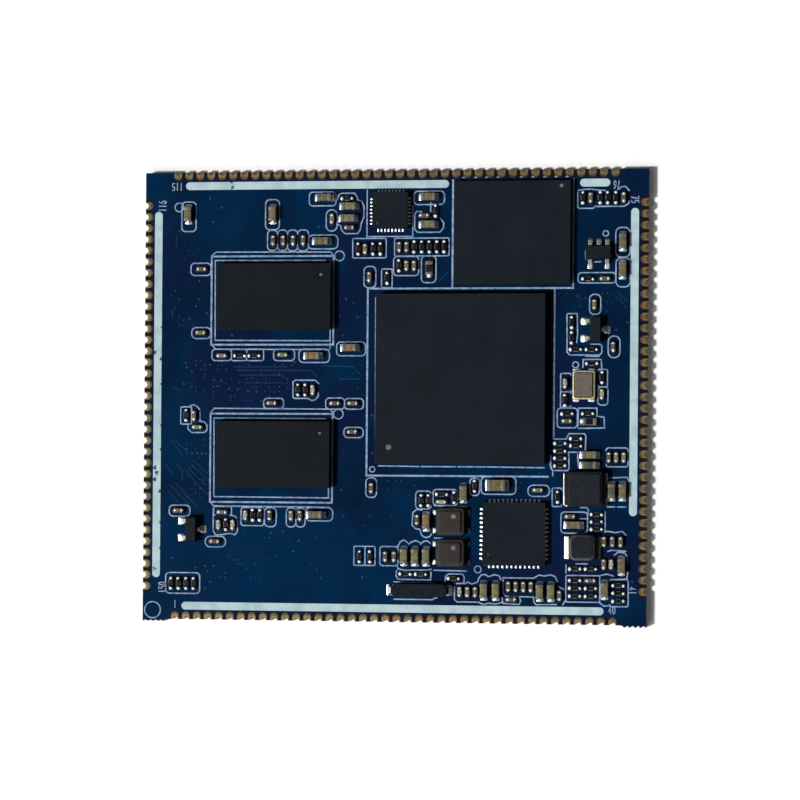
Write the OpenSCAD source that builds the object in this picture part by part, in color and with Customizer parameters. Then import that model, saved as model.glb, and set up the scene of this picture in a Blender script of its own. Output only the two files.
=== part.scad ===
// Castellated computing module: a thin board with a processor, two memory chips, a flash chip,
// a power manager and their small parts. It is soldered down by half-hole pads on all four edges.
// Millimetres, +Z up. The origin is the board's centre on its underside, X runs along its length.

/* [Board] */
// Length of the laminate along X
board_l = 57; // [56.8:0.1:60]
// Width of the laminate along Y
board_w = 50.65; // [50.5:0.05:54]
// Thickness of the finished board
board_t = 1.2; // [0.8:0.1:2]
// Depth of the broken tab stubs that stand out of the front edge
stub_h = 0.22; // [0.1:0.02:0.4]
// Length of each stub, from the corner
stub_l = 2.8; // [1.6:0.1:3]
// Distance between the small break-off holes along a stub
stub_pitch = 0.6; // [0.5:0.05:0.8]
// Radius of a break-off hole
stub_hole_r = 0.18; // [0.1:0.01:0.22]

/* [Edge pads] */
// Distance between neighbouring pads
pad_pitch = 1.27; // [1.15:0.01:1.29]
// Pads along the front edge, and along the back edge
pads_long = 40; // [20:1:40]
// Pads along the left edge, and along the right edge
pads_short = 35; // [20:1:35]
// Width of a pad
pad_w = 0.86; // [0.82:0.02:1]
// How far a pad reaches inboard from the edge
pad_reach = 0.9; // [0.8:0.02:1]
// Radius of the open half-hole
half_hole_r = 0.33; // [0.25:0.01:0.34]
// Thickness of the metal on the wall of a half-hole
wall_t = 0.06; // [0.04:0.01:0.07]
// Thickness of the metal on the board's faces
copper_t = 0.04; // [0.02:0.01:0.08]

/* [Print] */
// Width of the thick white bars beside the pads
bar_w = 0.88; // [0.6:0.02:0.9]
// Distance from the board's edge to a bar's centre line
bar_inset = 1.53; // [1.5:0.01:1.6]
// Width of a thin outline
line_w = 0.2; // [0.12:0.01:0.22]
// Thickness of the ink
ink_t = 0.03; // [0.02:0.01:0.04]

/* [Processor] */
// Side of the square package
cpu_s = 19; // [18:0.1:19.2]
// Thickness of its carrier laminate
cpu_base_t = 0.36; // [0.2:0.02:0.5]
// Thickness of its moulding
cpu_mould_t = 0.66; // [0.4:0.02:0.9]
// Height of the solder balls under it
cpu_gap = 0.3; // [0.2:0.02:0.4]
// Distance between its balls
cpu_ball_pitch = 0.8; // [0.75:0.01:0.82]

/* [Memory chips] */
// Length of a memory chip along X
ram_l = 13; // [12:0.1:13.2]
// Width of a memory chip along Y
ram_w = 7.5; // [7:0.1:8]
// Thickness of its carrier laminate
ram_base_t = 0.24; // [0.15:0.01:0.3]
// Thickness of its moulding
ram_mould_t = 0.56; // [0.4:0.02:0.8]
// Height of the solder balls under it
ram_gap = 0.28; // [0.2:0.02:0.4]
// Distance between its balls
ram_ball_pitch = 0.8; // [0.75:0.01:0.85]

/* [Flash chip] */
// Length of the flash chip along X
flash_l = 13; // [12:0.1:13]
// Width of the flash chip along Y
flash_w = 11.5; // [11:0.1:11.5]
// Thickness of its carrier laminate
flash_base_t = 0.2; // [0.15:0.01:0.3]
// Thickness of its moulding
flash_mould_t = 0.55; // [0.4:0.02:0.8]
// Height of the solder balls under it
flash_gap = 0.2; // [0.16:0.02:0.3]
// Distance between its balls
flash_ball_pitch = 0.5; // [0.48:0.01:0.6]

/* [Leadless chips] */
// Side of the power manager
pmic_s = 7; // [6.6:0.1:7.1]
// Leads on each side of the power manager
pmic_leads = 12; // [8:1:12]
// Distance between its leads
pmic_pitch = 0.5; // [0.45:0.01:0.52]
// Side of the small leadless chip
codec_s = 4; // [3.8:0.1:4.2]
// Leads on each side of the small leadless chip
codec_leads = 8; // [5:1:8]
// Distance between its leads
codec_pitch = 0.4; // [0.38:0.01:0.42]
// Height of both leadless chips
qfn_h = 0.85; // [0.7:0.01:1]
// Height of a lead's side face
qfn_lead_t = 0.2; // [0.12:0.01:0.25]
// How far a lead reaches under its chip
qfn_lead_l = 0.4; // [0.3:0.01:0.5]

/* [Leaded parts] */
// Length of a small moulded part
sot_l = 2.9; // [2.7:0.05:3]
// Width of the moulding of a three-lead part
sot_w = 1.3; // [1.2:0.05:1.4]
// Width of the moulding of the five-lead part
sot5_w = 1.6; // [1.5:0.05:1.7]
// Height of these mouldings, above their standoff
sot_h = 1; // [0.85:0.05:1.1]
// Gap between the board's lands and a moulding
sot_standoff = 0.08; // [0.04:0.01:0.12]
// Thickness of the lead strip
lead_t = 0.13; // [0.1:0.01:0.16]
// Width of a lead
lead_w = 0.42; // [0.34:0.01:0.46]
// Reach of a lead from the moulding to its tip
lead_reach = 0.55; // [0.5:0.01:0.6]

/* [Coils and crystal] */
// Side of a brown coil's body
coil_brown_s = 3; // [2.8:0.05:3.1]
// Height of a brown coil
coil_brown_h = 1.2; // [1:0.05:1.5]
// Side of the large black coil's body
coil_large_s = 3.8; // [3.6:0.05:3.85]
// Height of the large black coil
coil_large_h = 1.6; // [1.2:0.05:2]
// Side of the round-cornered coil's body
coil_round_s = 2.9; // [2.7:0.05:2.95]
// Height of the round-cornered coil
coil_round_h = 1.3; // [1:0.05:1.6]
// Thickness of a coil's terminal plates
plate_t = 0.12; // [0.08:0.01:0.16]
// Length of a coil's foot beyond its terminal plate
foot_l = 0.3; // [0.2:0.01:0.32]
// Crystal: size along X
crystal_l = 2.5; // [2.4:0.05:2.6]
// Crystal: size along Y
crystal_w = 3.2; // [3:0.05:3.3]
// Height of the crystal's ceramic base
crystal_base_h = 0.4; // [0.3:0.02:0.5]
// Height of the crystal's metal lid
crystal_lid_h = 0.3; // [0.2:0.02:0.4]
// Length of the long filter's body
filter_l = 6.2; // [5.8:0.1:6.4]
// Width of the long filter's body
filter_w = 1.4; // [1.2:0.05:1.5]
// Height of the long filter's body
filter_h = 1.1; // [0.8:0.05:1.3]

/* [Chip capacitors and resistors] */
// Length of a small part
small_l = 1; // [0.96:0.01:1.02]
// Width of a small part
small_w = 0.5; // [0.45:0.01:0.52]
// Height of a small capacitor
small_h = 0.5; // [0.4:0.01:0.55]
// Length of a middle-size part
mid_l = 1.6; // [1.5:0.01:1.65]
// Width of a middle-size part
mid_w = 0.8; // [0.75:0.01:0.82]
// Height of a middle-size capacitor
mid_h = 0.8; // [0.6:0.01:0.9]
// Length of the large capacitor
big_l = 2; // [1.9:0.01:2.1]
// Width of the large capacitor
big_w = 1.25; // [1.15:0.01:1.3]
// Height of the large capacitor
big_h = 1; // [0.8:0.01:1.25]
// Length of a metal end, as a share of the part's length
end_share = 0.25; // [0.18:0.01:0.3]
// How far the ceramic stands back from its metal ends
end_step = 0.02; // [0.01:0.005:0.03]
// Height of a small resistor
res_h = 0.35; // [0.3:0.01:0.4]
// Thickness of the dark coat on a resistor
coat_t = 0.05; // [0.03:0.01:0.07]

/* [Solder] */
// Thickness of a soldered land
land_t = 0.04; // [0.03:0.01:0.06]
// How far a small part's solder reaches beyond its end
small_toe = 0.25; // [0.15:0.01:0.26]
// How far a middle or large part's solder reaches beyond its end
mid_toe = 0.35; // [0.2:0.01:0.38]
// How far the solder reaches beyond a leadless chip
qfn_toe = 0.35; // [0.2:0.01:0.4]
// Height of the solder against a part's end, as a share of the part's height
rise_share = 0.55; // [0.3:0.05:0.8]

/* [Hidden] */

$fn = 32;
eps = 0.01;
part_z = board_t + land_t;

// Places on the board, measured from its centre
cpu_at = [7.7, 1.95];
ram_upper_at = [-13.45, 11.2];
ram_lower_at = [-13.45, -6.6];
flash_at = [13.4, 18.25];
pmic_at = [13.8, -15.3];
codec_at = [-0.35, 20.8];
regulator_at = [23, 16];
transistor_left_at = [-22.8, -15.1];
transistor_right_at = [22.7, 7.45];
brown_coils_at = [[6.75, -14], [6.75, -17.5]];
large_coil_at = [21.7, -10.25];
round_coil_at = [21.4, -16.75];
crystal_at = [21.45, 1.3];
filter_at = [3.2, -21.7];
large_cap_at = [11.85, -9.9];

// The memory chips sit a little above the middle of their printed outlines
ram_print_shift = [-0.35, -0.4];
cpu_print_shift = [-0.1, -0.35];
flash_print_shift = [0, 0.35];

// A row of places along X, and a column along Y
function row(x, y, n, pitch) = [for (i = [0:n - 1]) [x + i * pitch, y]];
function column(x, y, n, pitch) = [for (i = [0:n - 1]) [x, y - i * pitch]];

// Small parts that lie along X
small_caps_x = [
    [-21.9, 14.35], [-5, 18.95], [3.45, 20.25], [23.7, 13.1], [-21.95, 7.15], [-19.5, 4.55],
    [-12.5, 4.65], [-13.7, -0.8], [-6.5, -0.8], [-4.45, -0.8], [-4.5, -4], [-22.25, -3.55],
    [-19.3, -13.15], [-24.35, -13], [-20.15, -16.45], [16.45, -10.4], [19.6, -2.7],
    [20.05, -13.3], [5.65, -11.8], [13.55, -22.6], [22.35, -20.4]
];
small_res_x = concat(
    [[-5.3, 22.25], [21.8, 13.1], [20.5, 5.25], [22.25, 5.25], [22.3, 3.7]],
    row(-17.45, 4.55, 2, 1.65),
    [[19.6, -1.9], [21.9, -1.85]],
    column(18.85, -5.2, 4, 0.82),
    column(20.6, -4.65, 2, 0.8),
    [[5.65, -10.95], [1.6, -19.9], [3.35, -19.9], [7.05, -20.35]],
    column(22.95, -13.05, 3, 0.82),
    row(20.6, -19.1, 2, 1.75),
    column(20.6, -20.4, 3, 0.87),
    column(22.35, -21.27, 2, 0.87),
    column(25.4, -20.9, 3, 0.87)
);
// Small parts that lie along Y
small_caps_y = concat(
    row(-13.7, 17.55, 4, 1.15),
    [[-7, 19.95], [-2.7, 13.4], [-3.2, 16.55]],
    row(0.65, 16.75, 2, 0.85),
    row(1.5, 14.65, 2, 0.85),
    [[22.05, 22.1], [25.7, 22.1], [22.55, 10.25], [24.65, 5.55], [19.35, 1.5], [23.45, 0.3]],
    [[-9.05, 0.7], [-22.65, -2.25], [-2.3, -10.3], [-19.75, -14.55], [-18.1, -14.55]],
    [[-16.65, -13.45], [-13.85, -13.45], [-11.4, -13.45], [-10.4, -13.45], [2.9, -13.8]],
    row(-0.65, -17.95, 2, 1),
    row(24.25, -6.7, 3, 0.83),
    row(23.8, -16.05, 3, 0.92),
    [[23.8, -18.55], [24.6, -18.55], [18.9, -22.1]],
    row(13.2, -21.15, 4, 0.84),
    row(7.75, -21.8, 3, 0.88)
);
small_res_y = concat(
    [[-0.7, 13.25], [-4, 16.55]],
    row(-2.3, 16.55, 2, 0.85),
    row(2.35, 16.75, 5, 0.85),
    [[0.65, 14.65], [4.75, 20.75], [21.2, 22.1]],
    row(23.1, 22.1, 3, 0.86),
    [[20.05, 8.25], [20.05, 6.55], [19.35, -0.4], [23.45, 2.15]],
    row(-10.75, 0.7, 2, 0.85),
    [[-23.6, -2.2], [-18.92, -14.55]],
    row(-15.82, -13.45, 2, 0.82),
    row(3.35, -11.65, 2, 0.8),
    [[7.05, -11.3], [9.35, -10], [18.6, -11.15]],
    row(-3.6, -18, 2, 1.2),
    row(-25.2, -21.25, 4, 0.88)
);
// Middle-size parts
mid_caps_x = [
    [-8.15, 17.45], [-7.85, 22.35], [-5.05, 21.35], [-5.15, 20], [3.95, 22.35], [3.95, 19.25],
    [-9.05, 4.55], [-4.85, 5.45], [-8.6, -13.35], [22.15, -6.45], [22.15, -7.6], [20.45, -14.25]
];
mid_caps_y = concat(
    [[-23.5, 20.6], [-13.75, 20.55], [25.65, 17.25], [25.65, 14.15], [8.1, -10.8], [3.95, -14]],
    row(1.45, -17.9, 3, 1.25),
    row(24.6, -10.45, 2, 1.2),
    [[25.75, -18.7], [23.9, -21.4]],
    row(16.7, -21.7, 2, 1.25),
    row(10.45, -21.65, 2, 1.35)
);
mid_res_x = [[22.1, -2.75]];
mid_res_y = [[4.05, 14.35]];

small_size = [small_l, small_w, small_h];
mid_size = [mid_l, mid_w, mid_h];
big_size = [big_l, big_w, big_h];
small_res_size = [small_l, small_w, res_h];
mid_res_size = [mid_l, mid_w, res_h];

// Colours
mask_blue = [0.03, 0.12, 0.28];
gold = [0.8, 0.62, 0.3];
ink_white = [0.9, 0.93, 0.95];
mould_black = [0.13, 0.14, 0.15];
carrier_green = [0.1, 0.2, 0.14];
tin = [0.78, 0.78, 0.76];
ferrite_brown = [0.34, 0.29, 0.26];
ferrite_black = [0.17, 0.17, 0.18];
ceramic_tan = [0.66, 0.56, 0.38];
ceramic_white = [0.9, 0.89, 0.85];

// Places every child at each place of a list, turned by an angle
module at_places(places, z, turn = 0) {
    for (p = places) translate([p[0], p[1], z]) rotate(turn) children();
}

// Repeats a child along X, centred
module along(n, pitch) {
    for (i = [0:n - 1]) translate([(i - (n - 1) / 2) * pitch, 0, 0]) children();
}

// Puts a child on each of the four sides of a square chip, facing outwards along -Y
module four_sides(side) {
    for (a = [0, 90, 180, 270]) rotate(a) translate([0, -side / 2, 0]) children();
}

// A block centred on X and Y that stands on Z = 0
module block(l, w, h) {
    translate([-l / 2, -w / 2, 0]) cube([l, w, h]);
}

// Board

// Brings the children to the front, back, left or right edge, with +Y pointing inboard
module front_edge() { translate([0, -board_w / 2, 0]) children(); }
module back_edge() { translate([0, board_w / 2, 0]) rotate(180) children(); }
module left_edge() { translate([-board_l / 2, 0, 0]) rotate(-90) children(); }
module right_edge() { translate([board_l / 2, 0, 0]) rotate(90) children(); }

module every_pad() {
    front_edge() along(pads_long, pad_pitch) children();
    back_edge() along(pads_long, pad_pitch) children();
    left_edge() along(pads_short, pad_pitch) children();
    right_edge() along(pads_short, pad_pitch) children();
}

// Outline of one pad with its round inner end
module pad_outline() {
    translate([-pad_w / 2, 0]) square([pad_w, pad_reach - pad_w / 2]);
    translate([0, pad_reach - pad_w / 2]) circle(d = pad_w);
}

// The stub that a broken tab left behind: a low lip with break-off holes cut into it
module tab_stub() {
    difference() {
        translate([0, -stub_h]) square([stub_l, stub_h + eps]);
        for (x = [stub_pitch / 2:stub_pitch:stub_l]) translate([x, -stub_h]) circle(stub_hole_r);
    }
}

module board_outline() {
    square([board_l, board_w], center = true);
    translate([-board_l / 2, -board_w / 2]) tab_stub();
    translate([board_l / 2, -board_w / 2]) mirror([1, 0]) tab_stub();
}

module board() {
    color(mask_blue) {
        for (z = [0, board_t - copper_t]) translate([0, 0, z]) linear_extrude(copper_t) difference() {
            board_outline();
            every_pad() pad_outline();
        }
        translate([0, 0, copper_t]) linear_extrude(board_t - 2 * copper_t) difference() {
            board_outline();
            every_pad() circle(half_hole_r + wall_t);
        }
    }
}

// One castellated pad: a plate on each face, joined by the plated wall of the half-hole
module castellation() {
    for (z = [0, board_t - copper_t]) translate([0, 0, z]) linear_extrude(copper_t) difference() {
        pad_outline();
        circle(half_hole_r);
    }
    translate([0, 0, copper_t]) linear_extrude(board_t - 2 * copper_t) difference() {
        circle(half_hole_r + wall_t);
        circle(half_hole_r);
        translate([-pad_w, -pad_w]) square([2 * pad_w, pad_w]);
    }
}

module pads_front() { color(gold) front_edge() along(pads_long, pad_pitch) castellation(); }
module pads_back() { color(gold) back_edge() along(pads_long, pad_pitch) castellation(); }
module pads_left() { color(gold) left_edge() along(pads_short, pad_pitch) castellation(); }
module pads_right() { color(gold) right_edge() along(pads_short, pad_pitch) castellation(); }

// Print

// A bar with round ends, along X from x0 to x1
module bar(x0, x1) {
    r = bar_w / 2;
    linear_extrude(ink_t) {
        translate([x0 + r, bar_inset - r]) square([x1 - x0 - bar_w, bar_w]);
        for (x = [x0 + r, x1 - r]) translate([x, bar_inset]) circle(r);
    }
}

module edge_bars() {
    color(ink_white) translate([0, 0, board_t]) {
        front_edge() bar(-24, 23.8);
        back_edge() bar(-6.2, 23.85);
        back_edge() bar(-24.2, -20.85);
        left_edge() bar(-20.9, 20.6);
        right_edge() bar(-13.2, 20.95);
    }
}

// A rectangular outline of a given length and width
module outline(l, w) {
    difference() {
        square([l + line_w, w + line_w], center = true);
        square([l - line_w, w - line_w], center = true);
    }
}

ram_frame = [14, 10];
cpu_frame = 21;
flash_frame = [13.5, 13];

// The processor's outline is open beside a column of resistors. The flash chip's is open at the
// back, and its front line runs on from the processor's.
module chip_outlines() {
    color(ink_white) translate([0, 0, board_t]) linear_extrude(ink_t) {
        for (p = [ram_upper_at, ram_lower_at]) translate(p + ram_print_shift)
            outline(ram_frame[0], ram_frame[1]);
        translate(cpu_at + cpu_print_shift) difference() {
            outline(cpu_frame, cpu_frame);
            translate([cpu_frame / 2 - 0.5, -cpu_frame / 2 - 1]) square([1, 5.3]);
        }
        translate(flash_at + flash_print_shift) difference() {
            outline(flash_frame[0], flash_frame[1]);
            translate([-flash_frame[0], flash_frame[1] / 2 - 0.8]) square([2 * flash_frame[0], 1]);
        }
    }
}

// Ball-grid packages

// One solder ball, flattened where it meets the board and the package
module ball(r, gap) {
    rotate_extrude() intersection() {
        translate([0, gap / 2]) circle(r);
        square([r, gap]);
    }
}

// Balls on a grid: the outer rings, and a block of sites in the middle
module ball_grid(nx, ny, pitch, r, gap, rings, core) {
    for (i = [0:nx - 1], j = [0:ny - 1]) {
        depth = min(i, j, nx - 1 - i, ny - 1 - j);
        middle = max(abs(i - (nx - 1) / 2), abs(j - (ny - 1) / 2));
        if (depth < rings || middle < core)
            translate([(i - (nx - 1) / 2) * pitch, (j - (ny - 1) / 2) * pitch, 0]) ball(r, gap);
    }
}

// Sites that fit along a package side
function sites(side, pitch) = floor((side - pitch) / pitch) + 1;

// Moulding with a shallow round mark for the first pin
module moulding(l, w, t, mark_at, mark_r) {
    difference() {
        block(l, w, t);
        translate([mark_at[0], mark_at[1], t - 0.02]) cylinder(r = mark_r, h = 1);
    }
}

module on_board(p, z) { translate([p[0], p[1], board_t + z]) children(); }

module processor_base() {
    color(carrier_green) on_board(cpu_at, cpu_gap) block(cpu_s, cpu_s, cpu_base_t);
}
module processor_mould() {
    color(mould_black) on_board(cpu_at, cpu_gap + cpu_base_t)
        moulding(cpu_s, cpu_s, cpu_mould_t, [1.55 - cpu_s / 2, 1.8 - cpu_s / 2], 0.38);
}
module processor_balls() {
    n = sites(cpu_s, cpu_ball_pitch);
    color(tin) on_board(cpu_at, 0) ball_grid(n, n, cpu_ball_pitch, 0.24, cpu_gap, 2, 3);
}

module memory_base(p) { color(carrier_green) on_board(p, ram_gap) block(ram_l, ram_w, ram_base_t); }
module memory_mould(p) {
    color(mould_black) on_board(p, ram_gap + ram_base_t)
        moulding(ram_l, ram_w, ram_mould_t, [ram_l / 2 - 1.15, ram_w / 2 - 1.35], 0.25);
}
// Two blocks of three ball rows, with an empty lane between them
module memory_balls(p) {
    nx = sites(ram_l, ram_ball_pitch);
    lane = 3 * ram_ball_pitch;
    color(tin) on_board(p, 0) for (s = [-1, 1]) translate([0, s * lane, 0])
        ball_grid(nx, 3, ram_ball_pitch, 0.22, ram_gap, 2, 0);
}
module memory_upper_base() { memory_base(ram_upper_at); }
module memory_upper_mould() { memory_mould(ram_upper_at); }
module memory_upper_balls() { memory_balls(ram_upper_at); }
module memory_lower_base() { memory_base(ram_lower_at); }
module memory_lower_mould() { memory_mould(ram_lower_at); }
module memory_lower_balls() { memory_balls(ram_lower_at); }

module flash_base() {
    color(carrier_green) on_board(flash_at, flash_gap) block(flash_l, flash_w, flash_base_t);
}
module flash_mould() {
    color(mould_black) on_board(flash_at, flash_gap + flash_base_t)
        moulding(flash_l, flash_w, flash_mould_t, [flash_l / 2 - 1.05, flash_w / 2 - 0.6], 0.25);
}
module flash_balls() {
    nx = sites(flash_l - 6, flash_ball_pitch);
    color(tin) on_board(flash_at, 0) ball_grid(nx, nx, flash_ball_pitch, 0.15, flash_gap, 2, 2);
}

// Leadless chips

// One lead, its outer face flush with the chip's side
module qfn_lead(w) { translate([-w / 2, 0, 0]) cube([w, qfn_lead_l, qfn_lead_t]); }

module qfn_leads(side, n, pitch, lead_width, paddle) {
    four_sides(side) along(n, pitch) qfn_lead(lead_width);
    block(paddle, paddle, qfn_lead_t);
}

module qfn_mould(side, n, pitch, lead_width, paddle, mark_at) {
    difference() {
        block(side, side, qfn_h);
        translate([0, 0, -eps]) {
            four_sides(side) along(n, pitch) translate([-lead_width / 2, -eps, 0])
                cube([lead_width, qfn_lead_l + eps, qfn_lead_t + eps]);
            block(paddle, paddle, qfn_lead_t + eps);
        }
        translate([mark_at[0], mark_at[1], qfn_h - 0.02]) cylinder(r = 0.2, h = 1);
    }
}

// Solder under one lead, with a small fillet against its outer face
module qfn_joint(w) {
    rise = qfn_lead_t * rise_share;
    rotate([90, 0, 90]) translate([0, 0, -w / 2]) linear_extrude(w) polygon([
        [qfn_lead_l, 0], [-qfn_toe, 0], [-qfn_toe, land_t], [-qfn_toe / 2, land_t + rise / 4],
        [0, land_t + rise], [0, land_t], [qfn_lead_l, land_t]
    ]);
}

module qfn_solder(side, n, pitch, lead_width, paddle) {
    four_sides(side) along(n, pitch) qfn_joint(lead_width);
    block(paddle, paddle, land_t);
}

pmic_lead_w = 0.25;
pmic_paddle = 5;
codec_lead_w = 0.2;
codec_paddle = 2.4;

module power_chip_mould() {
    color(mould_black) translate([pmic_at[0], pmic_at[1], part_z])
        qfn_mould(pmic_s, pmic_leads, pmic_pitch, pmic_lead_w, pmic_paddle,
            [0.7 - pmic_s / 2, 1.2 - pmic_s / 2]);
}
module power_chip_leads() {
    color(tin) translate([pmic_at[0], pmic_at[1], part_z])
        qfn_leads(pmic_s, pmic_leads, pmic_pitch, pmic_lead_w, pmic_paddle);
}
module power_chip_solder() {
    color(tin) translate([pmic_at[0], pmic_at[1], board_t])
        qfn_solder(pmic_s, pmic_leads, pmic_pitch, pmic_lead_w, pmic_paddle);
}
module small_chip_mould() {
    color(mould_black) translate([codec_at[0], codec_at[1], part_z])
        qfn_mould(codec_s, codec_leads, codec_pitch, codec_lead_w, codec_paddle,
            [0.6 - codec_s / 2, 0.6 - codec_s / 2]);
}
module small_chip_leads() {
    color(tin) translate([codec_at[0], codec_at[1], part_z])
        qfn_leads(codec_s, codec_leads, codec_pitch, codec_lead_w, codec_paddle);
}
module small_chip_solder() {
    color(tin) translate([codec_at[0], codec_at[1], board_t])
        qfn_solder(codec_s, codec_leads, codec_pitch, codec_lead_w, codec_paddle);
}

// Leaded parts

sot_pitch = 0.95;
// Height of the line where the two mould halves meet and the leads come out
sot_mid = sot_standoff + 0.45 * sot_h;
draft = 0.12;

// Profile with drafted sides, and an upright band as high as a lead where the halves meet
module drafted_profile(w) {
    top = sot_standoff + sot_h;
    band = lead_t / 2;
    polygon([
        [-w / 2 + draft, sot_standoff], [w / 2 - draft, sot_standoff],
        [w / 2, sot_mid - band], [w / 2, sot_mid + band],
        [w / 2 - draft, top], [-w / 2 + draft, top],
        [-w / 2, sot_mid + band], [-w / 2, sot_mid - band]
    ]);
}

module sot_mould(l, w) {
    intersection() {
        rotate([90, 0, 0]) linear_extrude(2 * w, center = true) drafted_profile(l);
        rotate([90, 0, 90]) linear_extrude(2 * l, center = true) drafted_profile(w);
    }
}

// One gull-wing lead: out of the moulding at its lead line, down, and flat on the land
module gull_lead() {
    knee = 0.2;
    shin = 0.1;
    rotate([90, 0, -90]) translate([0, 0, -lead_w / 2]) linear_extrude(lead_w) polygon([
        [0, sot_mid - lead_t / 2], [knee - lead_t / 2, sot_mid - lead_t / 2],
        [knee + shin - lead_t / 2, 0], [lead_reach, 0], [lead_reach, lead_t],
        [knee + shin + lead_t / 2, lead_t], [knee + lead_t / 2, sot_mid + lead_t / 2],
        [0, sot_mid + lead_t / 2]
    ]);
}

// Solder under a lead's foot, as wide as its land, with a low fillet at its toe
module gull_joint(w, toe) {
    heel = 0.2;
    rotate([90, 0, -90]) translate([0, 0, -w / 2]) linear_extrude(w) polygon([
        [heel, 0], [lead_reach + toe, 0], [lead_reach + toe, land_t],
        [lead_reach, land_t + lead_t * 0.8], [lead_reach, land_t], [heel, land_t]
    ]);
}

// Leads on the two long sides: the places along X on the -Y side, then on the +Y side
module sot_sides(w, near, far) {
    for (x = near) translate([x, -w / 2, 0]) rotate(0) children();
    for (x = far) translate([x, w / 2, 0]) rotate(180) children();
}

module at_part(p, turn, z = part_z) { translate([p[0], p[1], z]) rotate(turn) children(); }

two_leads = [-sot_pitch, sot_pitch];
three_leads = [-sot_pitch, 0, sot_pitch];

module regulator_mould() { color(mould_black) at_part(regulator_at, 0) sot_mould(sot_l, sot5_w); }
module regulator_leads() {
    color(tin) at_part(regulator_at, 0) sot_sides(sot5_w, two_leads, three_leads) gull_lead();
}
module transistor_left_mould() {
    color(mould_black) at_part(transistor_left_at, -90) sot_mould(sot_l, sot_w);
}
module transistor_left_leads() {
    color(tin) at_part(transistor_left_at, -90) sot_sides(sot_w, two_leads, [0]) gull_lead();
}
module transistor_right_mould() {
    color(mould_black) at_part(transistor_right_at, -90) sot_mould(sot_l, sot_w);
}
module transistor_right_leads() {
    color(tin) at_part(transistor_right_at, -90) sot_sides(sot_w, two_leads, [0]) gull_lead();
}
module leaded_part_solder() {
    color(tin) {
        at_part(regulator_at, 0, board_t) {
            sot_sides(sot5_w, two_leads, []) gull_joint(lead_w + 0.15, 0.45);
            sot_sides(sot5_w, [], three_leads) gull_joint(lead_w + 0.15, 0.25);
        }
        for (p = [transistor_left_at, transistor_right_at])
            at_part(p, -90, board_t) sot_sides(sot_w, two_leads, [0]) gull_joint(0.88, 0.45);
    }
}

// Coils, crystal and filter

// A square with cut corners
module cut_square(s, cut) {
    h = s / 2;
    polygon([
        [cut - h, -h], [h - cut, -h], [h, cut - h], [h, h - cut],
        [h - cut, h], [cut - h, h], [-h, h - cut], [-h, cut - h]
    ]);
}

// A square with round corners
module round_square(s, r) {
    h = s / 2 - r;
    square([s, s - 2 * r], center = true);
    square([s - 2 * r, s], center = true);
    for (x = [-h, h], y = [-h, h]) translate([x, y]) circle(r);
}

coil_brown_side = coil_brown_s - 0.4;
brown_foot_w = 0.6;

// Brown coil: a core with cut corners, its top plate a little smaller, with round corners
module brown_coil() {
    lip = 0.25;
    linear_extrude(coil_brown_h - lip) cut_square(coil_brown_s, 0.3);
    translate([0, 0, coil_brown_h - lip]) linear_extrude(lip) round_square(coil_brown_s - 0.4, 0.4);
}

// Terminal of a brown coil: a plate on the body's side, with a foot near each end
module brown_terminal() {
    side = coil_brown_side;
    foot_w = brown_foot_w;
    translate([coil_brown_s / 2, -side / 2, 0]) cube([plate_t, side, coil_brown_h * 0.6]);
    for (s = [-1, 1]) translate([coil_brown_s / 2 + plate_t, s * (side - foot_w) / 2 - foot_w / 2, 0])
        cube([foot_l, foot_w, plate_t]);
}

module both_ends() {
    for (a = [0, 180]) rotate(a) children();
}

module brown_coil_bodies() { color(ferrite_brown) at_places(brown_coils_at, part_z) brown_coil(); }
module brown_coil_terminals() { color(tin) at_places(brown_coils_at, part_z) both_ends() brown_terminal(); }

// A plate that covers the middle of a coil's end and turns out into a foot
module side_plate(s, side, h) {
    translate([s / 2, -side / 2, 0]) cube([plate_t, side, h]);
    translate([s / 2 + plate_t, -side / 2, 0]) cube([foot_l, side, plate_t]);
}

coil_large_side = 3.6;
coil_round_side = 2.5;
coil_round_r = 0.7;

module large_coil_body() {
    rim = 0.2;
    color(ferrite_black) at_part(large_coil_at, 0) {
        linear_extrude(coil_large_h - rim) round_square(coil_large_s, 0.2);
        translate([0, 0, coil_large_h - rim]) linear_extrude(rim) round_square(coil_large_s - 0.3, 0.3);
    }
}
module large_coil_terminals() {
    color(tin) at_part(large_coil_at, 0) both_ends() side_plate(coil_large_s, coil_large_side, 0.9);
}
module round_coil_body() {
    rim = 0.2;
    color(ferrite_black) at_part(round_coil_at, 0) {
        linear_extrude(coil_round_h - rim) round_square(coil_round_s, 0.45);
        translate([0, 0, coil_round_h - rim]) linear_extrude(rim)
            round_square(coil_round_s - 0.4, coil_round_r);
    }
}
module round_coil_terminals() {
    color(tin) at_part(round_coil_at, 0) both_ends() side_plate(coil_round_s, coil_round_side, 0.7);
}

lid_inset = 0.3;
crystal_pad = [0.8, 0.95];

module crystal_base() {
    color(ceramic_tan) at_part(crystal_at, 0) block(crystal_l, crystal_w, crystal_base_h);
}
module crystal_lid() {
    color(tin) at_part(crystal_at, 0, part_z + crystal_base_h)
        block(crystal_l - 2 * lid_inset, crystal_w - 2 * lid_inset, crystal_lid_h);
}
// One land under each corner, reaching a little beyond the ends
module crystal_solder() {
    toe = 0.2;
    color(tin) at_part(crystal_at, 0, board_t) for (x = [-1, 1], y = [-1, 1])
        translate([x * (crystal_l - crystal_pad[0]) / 2, y * ((crystal_w - crystal_pad[1]) / 2 + toe), 0])
            block(crystal_pad[0], crystal_pad[1], land_t);
}

filter_end_l = 0.25;

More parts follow.
